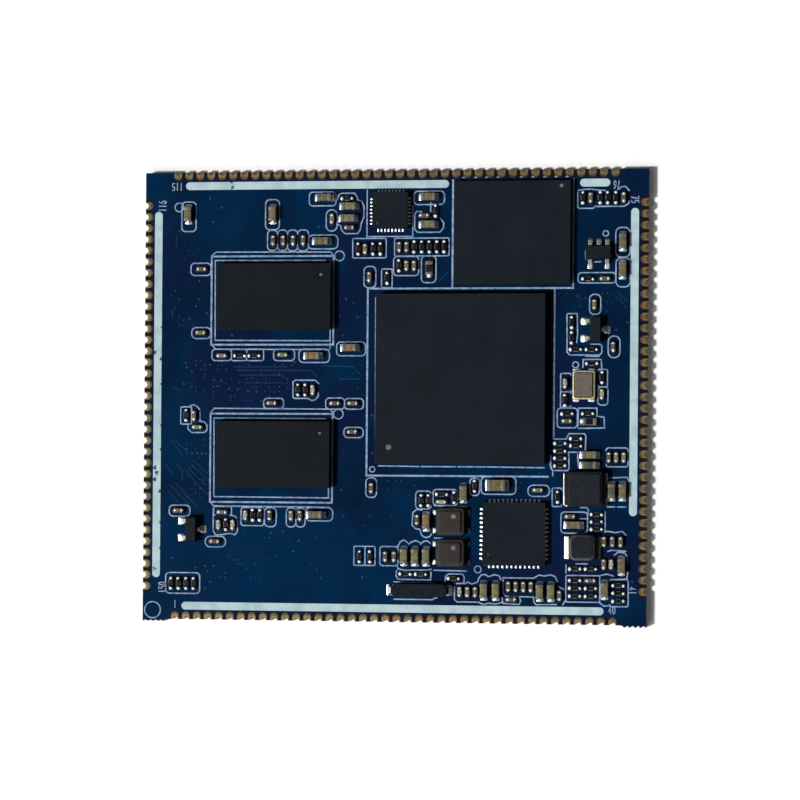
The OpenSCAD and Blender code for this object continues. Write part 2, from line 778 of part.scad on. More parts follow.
// Long filter: a flat block with cut corners
module filter_body() {
    cut = 0.34;
    l = filter_l / 2;
    w = filter_w / 2;
    color(mould_black) at_part(filter_at, 0) linear_extrude(filter_h)
        polygon([
            [-l, cut - w], [cut - l, -w], [l - cut, -w], [l, cut - w],
            [l, w - cut], [l - cut, w], [cut - l, w], [-l, w - cut]
        ]);
}
module filter_ends() {
    color(tin) at_part(filter_at, 0) both_ends() translate([filter_l / 2, 0.35 - filter_w / 2, 0])
        cube([filter_end_l, filter_w - 0.7, filter_h * 0.7]);
}

// A land with a fillet, its heel under the part and its toe beyond it, along +X
module joint(w, heel, toe, rise) {
    rotate([90, 0, 0]) translate([0, 0, -w / 2]) linear_extrude(w) polygon([
        [-heel, 0], [toe, 0], [toe, land_t], [toe / 2, land_t + rise / 4],
        [0, land_t + rise], [0, land_t], [-heel, land_t]
    ]);
}

// Solder for the coils and the filter: each joint starts at its foot's tip
module coil_and_filter_solder() {
    toe = 0.15;
    color(tin) {
        at_places(brown_coils_at, board_t) both_ends() for (s = [-1, 1])
            translate([coil_brown_s / 2 + plate_t + foot_l, s * (coil_brown_side - brown_foot_w) / 2, 0])
                joint(brown_foot_w, foot_l, toe, plate_t);
        at_part(large_coil_at, 0, board_t) both_ends()
            translate([coil_large_s / 2 + plate_t + foot_l, 0, 0])
                joint(coil_large_side, foot_l, toe, plate_t);
        at_part(round_coil_at, 0, board_t) both_ends()
            translate([coil_round_s / 2 + plate_t + foot_l, 0, 0])
                joint(coil_round_side, foot_l, toe, plate_t);
        at_part(filter_at, 0, board_t) both_ends()
            translate([filter_l / 2 + filter_end_l, 0, 0])
                joint(filter_w - 0.2, filter_end_l + 0.3, 0.4, 0.5);
    }
}

// Chip capacitors and resistors, made along X

// The ceramic between the two metal ends
module chip_core(size) {
    block(size[0] * (1 - 2 * end_share), size[1] - 2 * end_step, size[2] - end_step);
}
module chip_ends(size) {
    both_ends() translate([size[0] * (0.5 - end_share), -size[1] / 2, 0])
        cube([size[0] * end_share, size[1], size[2]]);
}
module chip_joints(size, toe) {
    both_ends() translate([size[0] / 2, 0, 0])
        joint(size[1], size[0] * end_share, toe, size[2] * rise_share);
}
module res_core(size) {
    block(size[0] * (1 - 2 * end_share), size[1] - 2 * end_step, size[2] - coat_t);
}
module res_coat(size) {
    translate([0, 0, size[2] - coat_t])
        block(size[0] * (1 - 2 * end_share), size[1] - 4 * end_step, coat_t);
}

// A child at the places along X, and turned at the places along Y
module both_ways(along_x, along_y, z) {
    at_places(along_x, z) children();
    at_places(along_y, z, 90) children();
}

module small_capacitors() {
    color(ceramic_tan) both_ways(small_caps_x, small_caps_y, part_z) chip_core(small_size);
}
module small_capacitor_ends() {
    color(tin) both_ways(small_caps_x, small_caps_y, part_z) chip_ends(small_size);
}
module mid_capacitors() {
    color(ceramic_tan) both_ways(mid_caps_x, mid_caps_y, part_z) chip_core(mid_size);
}
module mid_capacitor_ends() {
    color(tin) both_ways(mid_caps_x, mid_caps_y, part_z) chip_ends(mid_size);
}
module large_capacitor() { color(ceramic_tan) at_part(large_cap_at, 0) chip_core(big_size); }
module large_capacitor_ends() { color(tin) at_part(large_cap_at, 0) chip_ends(big_size); }
module resistors() {
    color(ceramic_white) both_ways(small_res_x, small_res_y, part_z) res_core(small_res_size);
}
module resistor_coats() {
    color(mould_black) both_ways(small_res_x, small_res_y, part_z) res_coat(small_res_size);
}
module resistor_ends() {
    color(tin) both_ways(small_res_x, small_res_y, part_z) chip_ends(small_res_size);
}
module mid_resistors() {
    color(ceramic_white) both_ways(mid_res_x, mid_res_y, part_z) res_core(mid_res_size);
}
module mid_resistor_coats() {
    color(mould_black) both_ways(mid_res_x, mid_res_y, part_z) res_coat(mid_res_size);
}
module mid_resistor_ends() {
    color(tin) both_ways(mid_res_x, mid_res_y, part_z) chip_ends(mid_res_size);
}
module chip_part_solder() {
    color(tin) {
        both_ways(small_caps_x, small_caps_y, board_t) chip_joints(small_size, small_toe);
        both_ways(small_res_x, small_res_y, board_t) chip_joints(small_res_size, small_toe);
        both_ways(mid_caps_x, mid_caps_y, board_t) chip_joints(mid_size, mid_toe);
        both_ways(mid_res_x, mid_res_y, board_t) chip_joints(mid_res_size, mid_toe);
        at_part(large_cap_at, 0, board_t) chip_joints(big_size, mid_toe);
    }
}

board();
pads_front();
pads_back();
pads_left();
pads_right();
edge_bars();
chip_outlines();
processor_base();
processor_mould();
processor_balls();
memory_upper_base();
memory_upper_mould();
memory_upper_balls();
memory_lower_base();
memory_lower_mould();
memory_lower_balls();
flash_base();
flash_mould();
flash_balls();
power_chip_mould();
power_chip_leads();
power_chip_solder();
small_chip_mould();
small_chip_leads();
small_chip_solder();
regulator_mould();
regulator_leads();
transistor_left_mould();
transistor_left_leads();
transistor_right_mould();
transistor_right_leads();
leaded_part_solder();
brown_coil_bodies();
brown_coil_terminals();
large_coil_body();
large_coil_terminals();
round_coil_body();
round_coil_terminals();
crystal_base();
crystal_lid();
crystal_solder();
filter_body();
filter_ends();
coil_and_filter_solder();
small_capacitors();
small_capacitor_ends();
mid_capacitors();
mid_capacitor_ends();
large_capacitor();
large_capacitor_ends();
resistors();
resistor_coats();
resistor_ends();
mid_resistors();
mid_resistor_coats();
mid_resistor_ends();
chip_part_solder();
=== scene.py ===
import math
import random

import bmesh
import bpy
from mathutils import Matrix, Vector


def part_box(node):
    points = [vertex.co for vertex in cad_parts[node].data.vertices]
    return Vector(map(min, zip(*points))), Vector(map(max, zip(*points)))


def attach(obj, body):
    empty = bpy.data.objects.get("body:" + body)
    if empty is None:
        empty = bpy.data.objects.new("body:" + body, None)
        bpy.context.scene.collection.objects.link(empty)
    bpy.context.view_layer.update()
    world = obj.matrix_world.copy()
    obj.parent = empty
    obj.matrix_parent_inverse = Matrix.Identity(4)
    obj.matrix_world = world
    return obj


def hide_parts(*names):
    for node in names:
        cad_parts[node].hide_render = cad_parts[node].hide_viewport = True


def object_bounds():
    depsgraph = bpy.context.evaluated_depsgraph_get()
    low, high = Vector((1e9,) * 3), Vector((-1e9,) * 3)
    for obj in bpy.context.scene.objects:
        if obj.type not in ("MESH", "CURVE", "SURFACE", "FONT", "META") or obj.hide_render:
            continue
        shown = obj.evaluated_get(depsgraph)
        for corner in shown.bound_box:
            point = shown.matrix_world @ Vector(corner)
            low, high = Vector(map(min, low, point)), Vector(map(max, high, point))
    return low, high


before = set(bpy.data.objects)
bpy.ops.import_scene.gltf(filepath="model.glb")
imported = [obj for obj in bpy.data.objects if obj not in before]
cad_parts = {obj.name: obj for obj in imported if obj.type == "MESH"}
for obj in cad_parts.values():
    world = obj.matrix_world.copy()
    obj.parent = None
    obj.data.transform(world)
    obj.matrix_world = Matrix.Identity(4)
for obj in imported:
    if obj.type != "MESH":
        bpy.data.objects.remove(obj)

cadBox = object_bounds()
mm = 0.001
boardTop = 1.2 * mm
print("frame loaded:", len(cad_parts), "nodes")


# camera, at the photograph's place above the board
cameraSet = {
    "lens": 112.3,  # lengths are in millimetres, turns in degrees
    "sensor": 36.0,
    "distance": 280.0,
    "turnX": -0.281,
    "turnY": -7.686,
    "turnZ": -0.401,
    "slideX": -0.829,
    "slideY": 9.385,
    "shiftY": 0.1,  # the photograph is a crop from a larger picture
}


def addCamera(settings):
    turn = (
        Matrix.Rotation(math.radians(-settings["turnX"]), 4, "X")
        @ Matrix.Rotation(math.radians(-settings["turnY"]), 4, "Y")
        @ Matrix.Rotation(math.radians(-settings["turnZ"]), 4, "Z")
    )
    spot = turn @ Vector((-settings["slideX"], -settings["slideY"], settings["distance"]))
    data = bpy.data.cameras.new("boardCamera")
    data.lens = settings["lens"]
    data.sensor_width = settings["sensor"]
    data.shift_y = settings["shiftY"]
    data.clip_start = 0.005
    data.clip_end = 20.0
    camera = bpy.data.objects.new("boardCamera", data)
    bpy.context.scene.collection.objects.link(camera)
    camera.matrix_world = Matrix.Translation(spot * mm + Vector((0, 0, boardTop))) @ turn
    bpy.context.scene.camera = camera


addCamera(cameraSet)


# small helpers for materials and the sky; colours are written as they look, 0 to 255
def shade(red, green, blue):
    parts = [value / 255 for value in (red, green, blue)]
    return tuple(v / 12.92 if v <= 0.04045 else ((v + 0.055) / 1.055) ** 2.4 for v in parts) + (1,)


def startMaterial(name, roughness, metallic=0.0, specular=0.5):
    material = bpy.data.materials.new(name)
    material.use_nodes = True
    shader = material.node_tree.nodes["Principled BSDF"]
    shader.inputs["Roughness"].default_value = roughness
    shader.inputs["Metallic"].default_value = metallic
    shader.inputs["Specular IOR Level"].default_value = specular
    return material, shader


def join(material, output, socket):
    material.node_tree.links.new(output, socket)


def objectPlace(material):
    node = material.node_tree.nodes.get("objectPlace")
    if node is None:
        node = material.node_tree.nodes.new("ShaderNodeTexCoord")
        node.name = "objectPlace"
    return node.outputs["Object"]


def cloud(material, size, detail=3.0, contrast=0.55, stretch=(1, 1, 1)):
    nodes = material.node_tree.nodes
    scale = nodes.new("ShaderNodeMapping")
    scale.inputs["Scale"].default_value = [s / size for s in stretch]
    texture = nodes.new("ShaderNodeTexNoise")
    texture.inputs["Scale"].default_value = 1.0
    texture.inputs["Detail"].default_value = detail
    texture.inputs["Roughness"].default_value = contrast
    join(material, objectPlace(material), scale.inputs["Vector"])
    join(material, scale.outputs[0], texture.inputs["Vector"])
    return texture.outputs["Fac"]


def splitPlace(material):
    node = material.node_tree.nodes.get("splitPlace")
    if node is None:
        node = material.node_tree.nodes.new("ShaderNodeSeparateXYZ")
        node.name = "splitPlace"
        join(material, objectPlace(material), node.inputs[0])
    return node.outputs


def nearSpot(material, x, y, radius, soft, ripple):
    # 1 inside a ragged round spot on the board and 0 outside it
    across = calculate(material, "SUBTRACT", splitPlace(material)["X"], x * mm)
    along = calculate(material, "SUBTRACT", splitPlace(material)["Y"], y * mm)
    away = calculate(material, "ADD", farFrom(material, across, along), ripple)
    return span(material, away, 1.0, 0.0, (radius - soft) * mm, (radius + soft) * mm)


def blendRamp(material, factor, stops):
    node = material.node_tree.nodes.new("ShaderNodeValToRGB")
    bar = node.color_ramp
    while len(bar.elements) < len(stops):
        bar.elements.new(0.5)
    for element, (spot, colour) in zip(bar.elements, stops):
        element.position = spot
        element.color = colour
    join(material, factor, node.inputs[0])
    return node.outputs[0]


def span(material, factor, low, high, start=0.3, end=0.7, smooth=False):
    node = material.node_tree.nodes.new("ShaderNodeMapRange")
    if smooth:
        node.interpolation_type = "SMOOTHSTEP"
    node.inputs["From Min"].default_value = start
    node.inputs["From Max"].default_value = end
    node.inputs["To Min"].default_value = low
    node.inputs["To Max"].default_value = high
    join(material, factor, node.inputs["Value"])
    return node.outputs[0]


def fillSockets(material, pairs):
    for value, socket in pairs:
        if isinstance(value, (tuple, float, int)):
            socket.default_value = value
        else:
            join(material, value, socket)


def mixColours(material, factor, first, second, kind="MIX"):
    node = material.node_tree.nodes.new("ShaderNodeMix")
    node.data_type = "RGBA"
    node.blend_type = kind
    fillSockets(material, ((factor, node.inputs[0]), (first, node.inputs[6]), (second, node.inputs[7])))
    return node.outputs[2]


def calculate(material, operation, first, second=0.0):
    node = material.node_tree.nodes.new("ShaderNodeMath")
    node.operation = operation
    fillSockets(material, ((first, node.inputs[0]), (second, node.inputs[1])))
    return node.outputs[0]


def farFrom(material, across, along):
    # distance from two offsets
    squares = [calculate(material, "MULTIPLY", part, part) for part in (across, along)]
    return calculate(material, "SQRT", calculate(material, "ADD", *squares))


def paint(material, shader, factor, dark, light):
    # two shades, each given with its place on the noise
    join(material, blendRamp(material, factor, [dark, light]), shader.inputs["Base Color"])


def raiseBumps(material, shader, height, depth, strength):
    node = material.node_tree.nodes.new("ShaderNodeBump")
    node.inputs["Strength"].default_value = strength
    node.inputs["Distance"].default_value = depth
    join(material, height, node.inputs["Height"])
    before = shader.inputs["Normal"]
    if before.is_linked:
        join(material, before.links[0].from_socket, node.inputs["Normal"])
    join(material, node.outputs[0], shader.inputs["Normal"])


def facingUp(material):
    nodes = material.node_tree.nodes
    geometry = nodes.new("ShaderNodeNewGeometry")
    split = nodes.new("ShaderNodeSeparateXYZ")
    join(material, geometry.outputs["Normal"], split.inputs[0])
    return calculate(material, "ABSOLUTE", split.outputs["Z"])


# lamps and world: one lamp from the left, a wide weak one from the front left, and a soft sky
# that is paler near the horizon on the lamps' side
lightSet = {
    "key": {"power": 3.4, "spread": 8.0, "fromAngle": 203.0, "height": 50.5},
    "fill": {"power": 0.5, "spread": 20.0, "fromAngle": 236.0, "height": 47.0},
    "skyTop": 0.03,
    "skyEdge": 0.55,
    "skyFarEdge": 0.06,
    "skyAngle": 215.0,
    "skyRound": (-0.7, 0.8),  # where the pale side starts and ends
    "skyClimb": (0.15, 0.8),  # heights between which the sky turns dark
}


def addLamp(name, settings):
    data = bpy.data.lights.new(name, "SUN")
    data.energy = settings["power"]
    data.angle = math.radians(settings["spread"])
    lamp = bpy.data.objects.new(name, data)
    bpy.context.scene.collection.objects.link(lamp)
    around = math.radians(settings["fromAngle"])
    height = math.radians(settings["height"])
    flat = math.cos(height)
    outward = Vector((math.cos(around) * flat, math.sin(around) * flat, math.sin(height)))
    lamp.location = outward * 0.5
    lamp.rotation_euler = outward.to_track_quat("Z", "Y").to_euler()


def addSky(settings):
    world = bpy.data.worlds.new("softSky")
    world.use_nodes = True
    nodes, links = world.node_tree.nodes, world.node_tree.links
    where = nodes.new("ShaderNodeTexCoord")
    split = nodes.new("ShaderNodeSeparateXYZ")
    links.new(where.outputs["Generated"], split.inputs[0])
    toward = nodes.new("ShaderNodeVectorMath")
    toward.operation = "DOT_PRODUCT"
    around = math.radians(settings["skyAngle"])
    toward.inputs[1].default_value = (math.cos(around), math.sin(around), 0)
    links.new(where.outputs["Generated"], toward.inputs[0])
    pale = (settings["skyFarEdge"], settings["skyEdge"])
    edge = span(world, toward.outputs["Value"], *pale, *settings["skyRound"], smooth=True)
    climb = span(world, split.outputs["Z"], 0.0, 1.0, *settings["skyClimb"], smooth=True)
    level = nodes.new("ShaderNodeMix")
    level.inputs["B"].default_value = settings["skyTop"]
    links.new(climb, level.inputs["Factor"])
    links.new(edge, level.inputs["A"])
    links.new(level.outputs["Result"], nodes["Background"].inputs["Color"])
    bpy.context.scene.world = world


addLamp("keyLamp", lightSet["key"])
addLamp("fillLamp", lightSet["fill"])
addSky(lightSet)
bpy.context.scene.view_settings.view_transform = "Standard"
print("camera and lamps set")


# board: dark blue mask over copper and glass cloth, bare laminate on the cut edges
maskSet = {
    "navy": shade(6, 24, 50),
    "blue": shade(3, 31, 58),
    "teal": shade(1, 39, 72),
    "violet": shade(14, 22, 56),
    "violetSpots": [(-16.5, 2.6, 6.0), (-7.5, -2.5, 3.6), (-5.5, 11.0, 3.6), (-3.0, 18.0, 4.0),
                    (17.5, -1.0, 5.0), (21.0, -18.0, 5.5), (9.5, -22.0, 4.0), (-25.0, 16.5, 3.0)],
    "tealSpots": [(-22.0, -20.0, 9.0), (-11.0, -19.0, 7.0), (-2.0, -19.0, 5.0), (-12.0, -14.0, 4.0),
                  (-19.0, 19.5, 3.5), (-25.5, -4.0, 3.5)],
    "grime": shade(26, 20, 30),
    "tipGrime": shade(34, 24, 20),
    "laminate": shade(86, 92, 62),
    "laminateDark": shade(44, 48, 36),
    "overlay": shade(70, 104, 138),
    "blend": ((0.3, "navy"), (0.5, "blue"), (0.66, "teal")),
    "patchSize": 6.5 * mm,
    "fleckSize": 1.1 * mm,
    "fleckCover": 0.5,
    "spotSoft": 2.0,
    "spotCover": 0.6,
    "ragged": 3.0 * mm,
    "padTongues": ((0.88, 0.17), (0.42, 0.12)),  # depth and softness of the dirt between the pads
    "rowEnds": (22.3, 25.4),  # last pads of the short and the long rows
    "clothPitch": 0.45 * mm,
    "gloss": (0.2, 0.32),  # least and most roughness
    "liftOverCopper": 0.13,  # how much of the overlay colour shows on raised traces and vias
    "liftOverVia": 0.3,
}


def makeMask(name, settings, lift=0.0):
    material, shader = startMaterial(name, 0.24, specular=0.05)
    patches = cloud(material, settings["patchSize"], detail=4)
    colour = blendRamp(material, patches, [(spot, settings[key]) for spot, key in settings["blend"]])
    flecks = cloud(material, settings["fleckSize"], detail=5)
    flecks = span(material, flecks, 0.0, settings["fleckCover"], 0.52, 0.74)
    colour = mixColours(material, flecks, colour, settings["violet"])
    ragged = span(material, cloud(material, 4.0 * mm, detail=4), -settings["ragged"], settings["ragged"])
    for key in ("violet", "teal"):
        for x, y, radius in settings[key + "Spots"]:
            near = nearSpot(material, x, y, radius, settings["spotSoft"], ragged)
            cover = calculate(material, "MULTIPLY", near, settings["spotCover"])
            colour = mixColours(material, cover, colour, settings[key])
    if lift:
        colour = mixColours(material, lift, colour, settings["overlay"])
    else:
        # resin and dirt darken the tongues of mask between the edge pads
        place = splitPlace(material)
        outX, outY = (calculate(material, "ABSOLUTE", place[axis]) for axis in "XY")
        rows = []
        lastX, lastY = settings["rowEnds"]
        for out, beside, edge, last in ((outX, outY, cadBox[1].x, lastX), (outY, outX, cadBox[1].y, lastY)):
            within = span(material, beside, 1.0, 0.0, (last - 0.1) * mm, (last + 0.1) * mm)
            for depth, soft in settings["padTongues"]:
                band = span(material, out, 0.0, 1.0, edge - (depth + soft) * mm, edge - (depth - soft) * mm)
                rows.append(calculate(material, "MULTIPLY", band, within))
        patchy = span(material, cloud(material, 0.8 * mm, detail=4), 0.45, 1.0, 0.35, 0.6)
        for first, second, key in ((rows[0], rows[2], "grime"), (rows[1], rows[3], "tipGrime")):
            both = calculate(material, "MAXIMUM", first, second)
            cover = calculate(material, "MULTIPLY", both, patchy)
            colour = mixColours(material, cover, colour, settings[key])
        layers = cloud(material, 0.11 * mm, detail=2, stretch=(0.05, 0.05, 1.0))
        cutFace = blendRamp(material, layers, [(0.35, settings["laminateDark"]), (0.6, settings["laminate"])])
        side = span(material, facingUp(material), 1.0, 0.0, 0.35, 0.6)
        colour = mixColours(material, side, colour, cutFace)
    join(material, colour, shader.inputs["Base Color"])
    dull = span(material, cloud(material, 2.2 * mm, detail=6), *settings["gloss"])
    join(material, dull, shader.inputs["Roughness"])
    nodes = material.node_tree.nodes
    threads = []
    for direction in ("X", "Y"):
        wave = nodes.new("ShaderNodeTexWave")
        wave.bands_direction = direction
        wave.inputs["Scale"].default_value = 0.314 / settings["clothPitch"]
        wave.inputs["Distortion"].default_value = 0.6
        join(material, objectPlace(material), wave.inputs["Vector"])
        threads.append(wave.outputs["Fac"])
    cloth = calculate(material, "MULTIPLY", threads[0], threads[1])
    raiseBumps(material, shader, cloth, 0.003 * mm, 0.4)
    raiseBumps(material, shader, cloud(material, 0.12 * mm, detail=4), 0.002 * mm, 0.5)
    return material


solderMask = makeMask("solderMask", maskSet)
maskOverCopper = makeMask("maskOverCopper", maskSet, maskSet["liftOverCopper"])
maskOverVia = makeMask("maskOverVia", maskSet, maskSet["liftOverVia"])


# pads: thin gold over nickel, dulled by soldering, bright by the hole and stained round the rim
goldSet = {
    "gold": shade(142, 120, 76),
    "orange": shade(150, 104, 62),
    "green": shade(124, 120, 74),
    "grey": shade(112, 102, 88),
    "stain": shade(42, 26, 30),
    "mixedTones": ("grey", "gold", "green", "orange", "gold"),
    "greenTones": ("grey", "green", "gold", "green", "gold"),
    "stops": (0.32, 0.43, 0.52, 0.6, 0.72),
    "pitch": 1.27 * mm,
    "rim": (0.5 * mm, 0.82 * mm),  # where the stain starts and is full, from the hole's centre
    "ripple": 0.09 * mm,
    "dirt": 0.6,
    "gloss": (0.32, 0.55),
}


def makeGold(name, settings, along, edge, dulled, tones):
    # along is the axis of the row, edge the board's edge on the other axis
    material, shader = startMaterial(name, 0.42, metallic=0.55)
    hue = cloud(material, 1.9 * mm, detail=2)
    stops = zip(settings["stops"], settings[tones])
    colour = blendRamp(material, hue, [(spot, settings[key]) for spot, key in stops])
    place = splitPlace(material)
    step = material.node_tree.nodes.new("ShaderNodeMath")
    step.operation = "WRAP"
    step.inputs[1].default_value = settings["pitch"] / 2
    step.inputs[2].default_value = -settings["pitch"] / 2
    shift = 0.0 if along == "Y" else settings["pitch"] / 2
    join(material, calculate(material, "ADD", place[along], shift), step.inputs[0])
    inward = calculate(material, "SUBTRACT", place["Y" if along == "X" else "X"], edge)
    away = farFrom(material, step.outputs[0], inward)
    ripple = span(material, cloud(material, 0.3 * mm, detail=3), -settings["ripple"], settings["ripple"])
    rim = span(material, calculate(material, "ADD", away, ripple), 0.0, dulled, *settings["rim"])
    dirt = span(material, cloud(material, 0.35 * mm, detail=5), 0.0, settings["dirt"], 0.54, 0.74)
    colour = mixColours(material, calculate(material, "MAXIMUM", rim, dirt), colour, settings["stain"])
    join(material, colour, shader.inputs["Base Color"])
    join(material, span(material, cloud(material, 0.5 * mm), *settings["gloss"]), shader.inputs["Roughness"])
    raiseBumps(material, shader, cloud(material, 0.16 * mm, detail=4), 0.01 * mm, 0.6)
    return material


boardX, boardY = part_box("pads_right")[1].x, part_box("pads_back")[1].y
frontGold, backGold, leftGold, rightGold = (makeGold(name, goldSet, *values) for name, *values in (
    ("frontGold", "X", -boardY, 0.85, "mixedTones"),
    ("backGold", "X", boardY, 0.85, "mixedTones"),
    ("leftGold", "Y", -boardX, 0.85, "greenTones"),
    ("rightGold", "Y", boardX, 0.75, "mixedTones"),
))


# ink: pale blue-white print, thin enough to let the mask through where it is worn
inkSet = {
    # bright, pale and worn shade, where the wear starts and the size of the pale patches
    "bar": (shade(180, 204, 208), shade(162, 186, 194), shade(44, 66, 98), 0.64, 1.6 * mm),
    "line": (shade(152, 172, 196), shade(112, 136, 170), shade(58, 82, 122), 0.53, 0.7 * mm),
    "wearSize": 0.42 * mm,
    "wear": 0.85,
    "ragged": 0.22 * mm,
    # worn and scratched places on the bars: x, y and radius in millimetres
    "wornSpots": [
        (-27.2, -8.2, 0.2), (-27.0, -8.75, 0.22), (-27.25, -9.45, 0.2), (-26.45, -10.8, 0.3),
        (-18.5, 23.1, 0.09), (-18.55, 23.3, 0.1), (-18.45, 23.5, 0.09), (-18.5, 23.7, 0.1),
        (-18.6, 23.9, 0.12), (-18.55, 24.1, 0.1), (-27.35, 4.9, 0.22),
        (-26.45, 4.2, 0.25), (-27.2, -19.6, 0.18), (-26.4, -3.4, 0.25), (-26.42, -6.1, 0.22),
        (-26.4, -12.6, 0.2), (-26.38, -14.4, 0.22), (-26.4, 1.4, 0.2), (-26.4, 7.9, 0.18),
        (-26.4, -17.2, 0.2),
    ],
}


def makeInk(name, bright, pale, thin, gap, patch, spots=()):
    material, shader = startMaterial(name, 0.62, specular=0.2)
    colour = blendRamp(material, cloud(material, patch, detail=4), [(0.38, pale), (0.6, bright)])
    worn = cloud(material, inkSet["wearSize"], detail=6, contrast=0.65)
    worn = span(material, worn, 0.0, inkSet["wear"], gap, gap + 0.16)
    if spots:
        ragged = span(material, cloud(material, 0.25 * mm, detail=5), -inkSet["ragged"], inkSet["ragged"])
        for x, y, radius in spots:
            worn = calculate(material, "MAXIMUM", worn, nearSpot(material, x, y, radius, 0.05, ragged))
    colour = mixColours(material, worn, colour, thin)
    join(material, colour, shader.inputs["Base Color"])
    raiseBumps(material, shader, cloud(material, 0.09 * mm, detail=4), 0.006 * mm, 0.7)
    return material


barInk = makeInk("barInk", *inkSet["bar"], inkSet["wornSpots"])
lineInk = makeInk("lineInk", *inkSet["line"])


# chips: black moulding with a fine sandy face, on a dark laminate carrier
chipSet = {
    "moulding": (shade(17, 23, 30), shade(24, 30, 38)),
    "memoryMoulding": (shade(12, 17, 22), shade(18, 24, 30)),
    "firstPinDot": (shade(90, 92, 96), shade(112, 114, 116)),
    "faintPinDot": (shade(50, 54, 57), shade(66, 70, 73)),
}
carrierSet = {"dark": shade(40, 46, 34), "light": shade(66, 66, 44)}


def makeMoulding(name, dark, light):
    material, shader = startMaterial(name, 0.5, specular=0.08)
    sand = cloud(material, 0.07 * mm, detail=3, contrast=0.7)
    broad = cloud(material, 3.5 * mm, detail=4)
    mixed = calculate(material, "MULTIPLY", sand, span(material, broad, 0.75, 1.25))
    paint(material, shader, mixed, (0.3, dark), (0.72, light))
    join(material, span(material, broad, 0.44, 0.56), shader.inputs["Roughness"])
    raiseBumps(material, shader, sand, 0.009 * mm, 0.65)
    return material


moulding, memoryMoulding, firstPinDot, faintPinDot = (
    makeMoulding(name, *shades) for name, shades in chipSet.items())


def makeCarrier(settings):
    material, shader = startMaterial("carrier", 0.5, specular=0.3)
    layers = cloud(material, 0.06 * mm, detail=3, stretch=(0.08, 0.08, 1))
    paint(material, shader, layers, (0.35, settings["dark"]), (0.65, settings["light"]))
    raiseBumps(material, shader, layers, 0.006 * mm, 0.5)
    return material


carrier = makeCarrier(carrierSet)


# metals: bright and dark shade, roughness, size of the wear, then the metallic share and the stretch of
# a brushed face where they aren't the usual ones
metalSet = {
    "solder": (shade(226, 228, 228), shade(176, 178, 178), 0.34, 0.22 * mm),
    "tinPlate": (shade(216, 212, 194), shade(172, 166, 146), 0.3, 0.18 * mm, 0.75),
    "endPlate": (shade(130, 127, 110), shade(88, 86, 74), 0.4, 0.14 * mm, 0.5),
    # this dark tin is partly a dull finish and partly painted shade: it stands for the dark of the joints
    # beside the painted highlights and of the coil terminals on the far side from the lamps
    "dullShadedTin": (shade(84, 82, 76), shade(58, 56, 52), 0.22, 0.2 * mm, 0.95),
    "litCoilEnd": (shade(92, 90, 84), shade(64, 62, 58), 0.24, 0.3 * mm, 0.9),
    "litRoundEnd": (shade(228, 226, 214), shade(190, 186, 172), 0.42, 0.3 * mm, 0.6),
    # the near-white, mostly matt solder is a painted highlight: what is drawn in it stands for the glints on
    # solder
    "highlightSolder": (shade(240, 242, 238), shade(204, 208, 206), 0.45, 0.16 * mm, 0.15),
    "lidMetal": (shade(108, 101, 92), shade(88, 82, 75), 0.44, 0.3 * mm, 0.3, (1.2, 0.8, 1)),
    "sealMetal": (shade(222, 212, 172), shade(184, 168, 124), 0.36, 0.3 * mm, 0.5),
}


def makeMetal(name, bright, dark, roughness, size, metallic=1.0, brushed=(1, 1, 1)):
    material, shader = startMaterial(name, roughness, metallic=metallic)
    wear = cloud(material, size, detail=5, contrast=0.6, stretch=brushed)
    paint(material, shader, wear, (0.34, dark), (0.56, bright))
    dull = span(material, wear, roughness + 0.14, max(roughness - 0.08, 0.12))
    join(material, dull, shader.inputs["Roughness"])
    raiseBumps(material, shader, wear, 0.008 * mm, 0.5)
    return material


metals = {name: makeMetal(name, *values) for name, values in metalSet.items()}


# ceramics and ferrites: bright and dark shade, then roughness, size of the grain and specular level
# where they aren't the usual ones
ceramicSet = {
    "tanCeramic": (shade(118, 109, 78), shade(98, 90, 62)),
    "oliveCeramic": (shade(124, 124, 86), shade(104, 104, 70)),
    "orangeCeramic": (shade(140, 112, 80), shade(118, 92, 64)),
    "paleCeramic": (shade(172, 170, 150), shade(150, 146, 126)),
    "dullGreenCeramic": (shade(88, 90, 78), shade(74, 76, 64)),
    "brownCeramic": (shade(100, 88, 72), shade(82, 71, 57)),
    "pinkGreyCeramic": (shade(104, 97, 94), shade(88, 82, 79)),
    "crystalCeramic": (shade(112, 102, 78), shade(88, 80, 62)),
    "aluminaCeramic": (shade(196, 196, 188), shade(170, 168, 160)),
    "ferriteBrown": (shade(55, 51, 49), shade(45, 41, 40), 0.68, 0.08 * mm, 0.15),
    "ferriteBlack": (shade(32, 36, 42), shade(24, 28, 34), 0.55, 0.08 * mm, 0.1),
    "ferriteRimHighlight": (shade(68, 64, 62), shade(56, 52, 50), 0.6, 0.08 * mm, 0.15),
    "ferriteEdgeHighlight": (shade(88, 90, 90), shade(70, 72, 72), 0.5, 0.08 * mm, 0.2),
    "ferriteDot": (shade(122, 118, 114), shade(104, 100, 96), 0.6, 0.08 * mm, 0.15),
    "filterCeramic": (shade(24, 31, 38), shade(16, 22, 29), 0.5, 0.06 * mm, 0.08),
    "resistorCoat": (shade(20, 21, 23), shade(12, 13, 15), 0.35, 0.04 * mm),
}
grainShade = shade(30, 26, 22)


def makeCeramic(name, bright, dark, roughness=0.55, grain=0.05 * mm, specular=0.25):
    material, shader = startMaterial(name, roughness, specular=specular)
    fine = cloud(material, grain, detail=3, contrast=0.7)
    broad = cloud(material, 0.6 * mm, detail=3)
    colour = blendRamp(material, broad, [(0.35, dark), (0.65, bright)])
    colour = mixColours(material, span(material, fine, 0.0, 0.35, 0.5, 0.72), colour, grainShade, "MULTIPLY")
    join(material, colour, shader.inputs["Base Color"])
    join(material, span(material, broad, roughness - 0.08, roughness + 0.1), shader.inputs["Roughness"])
    raiseBumps(material, shader, fine, 0.006 * mm, 0.6)
    return material


ceramics = {name: makeCeramic(name, *values) for name, values in ceramicSet.items()}
print("materials made")


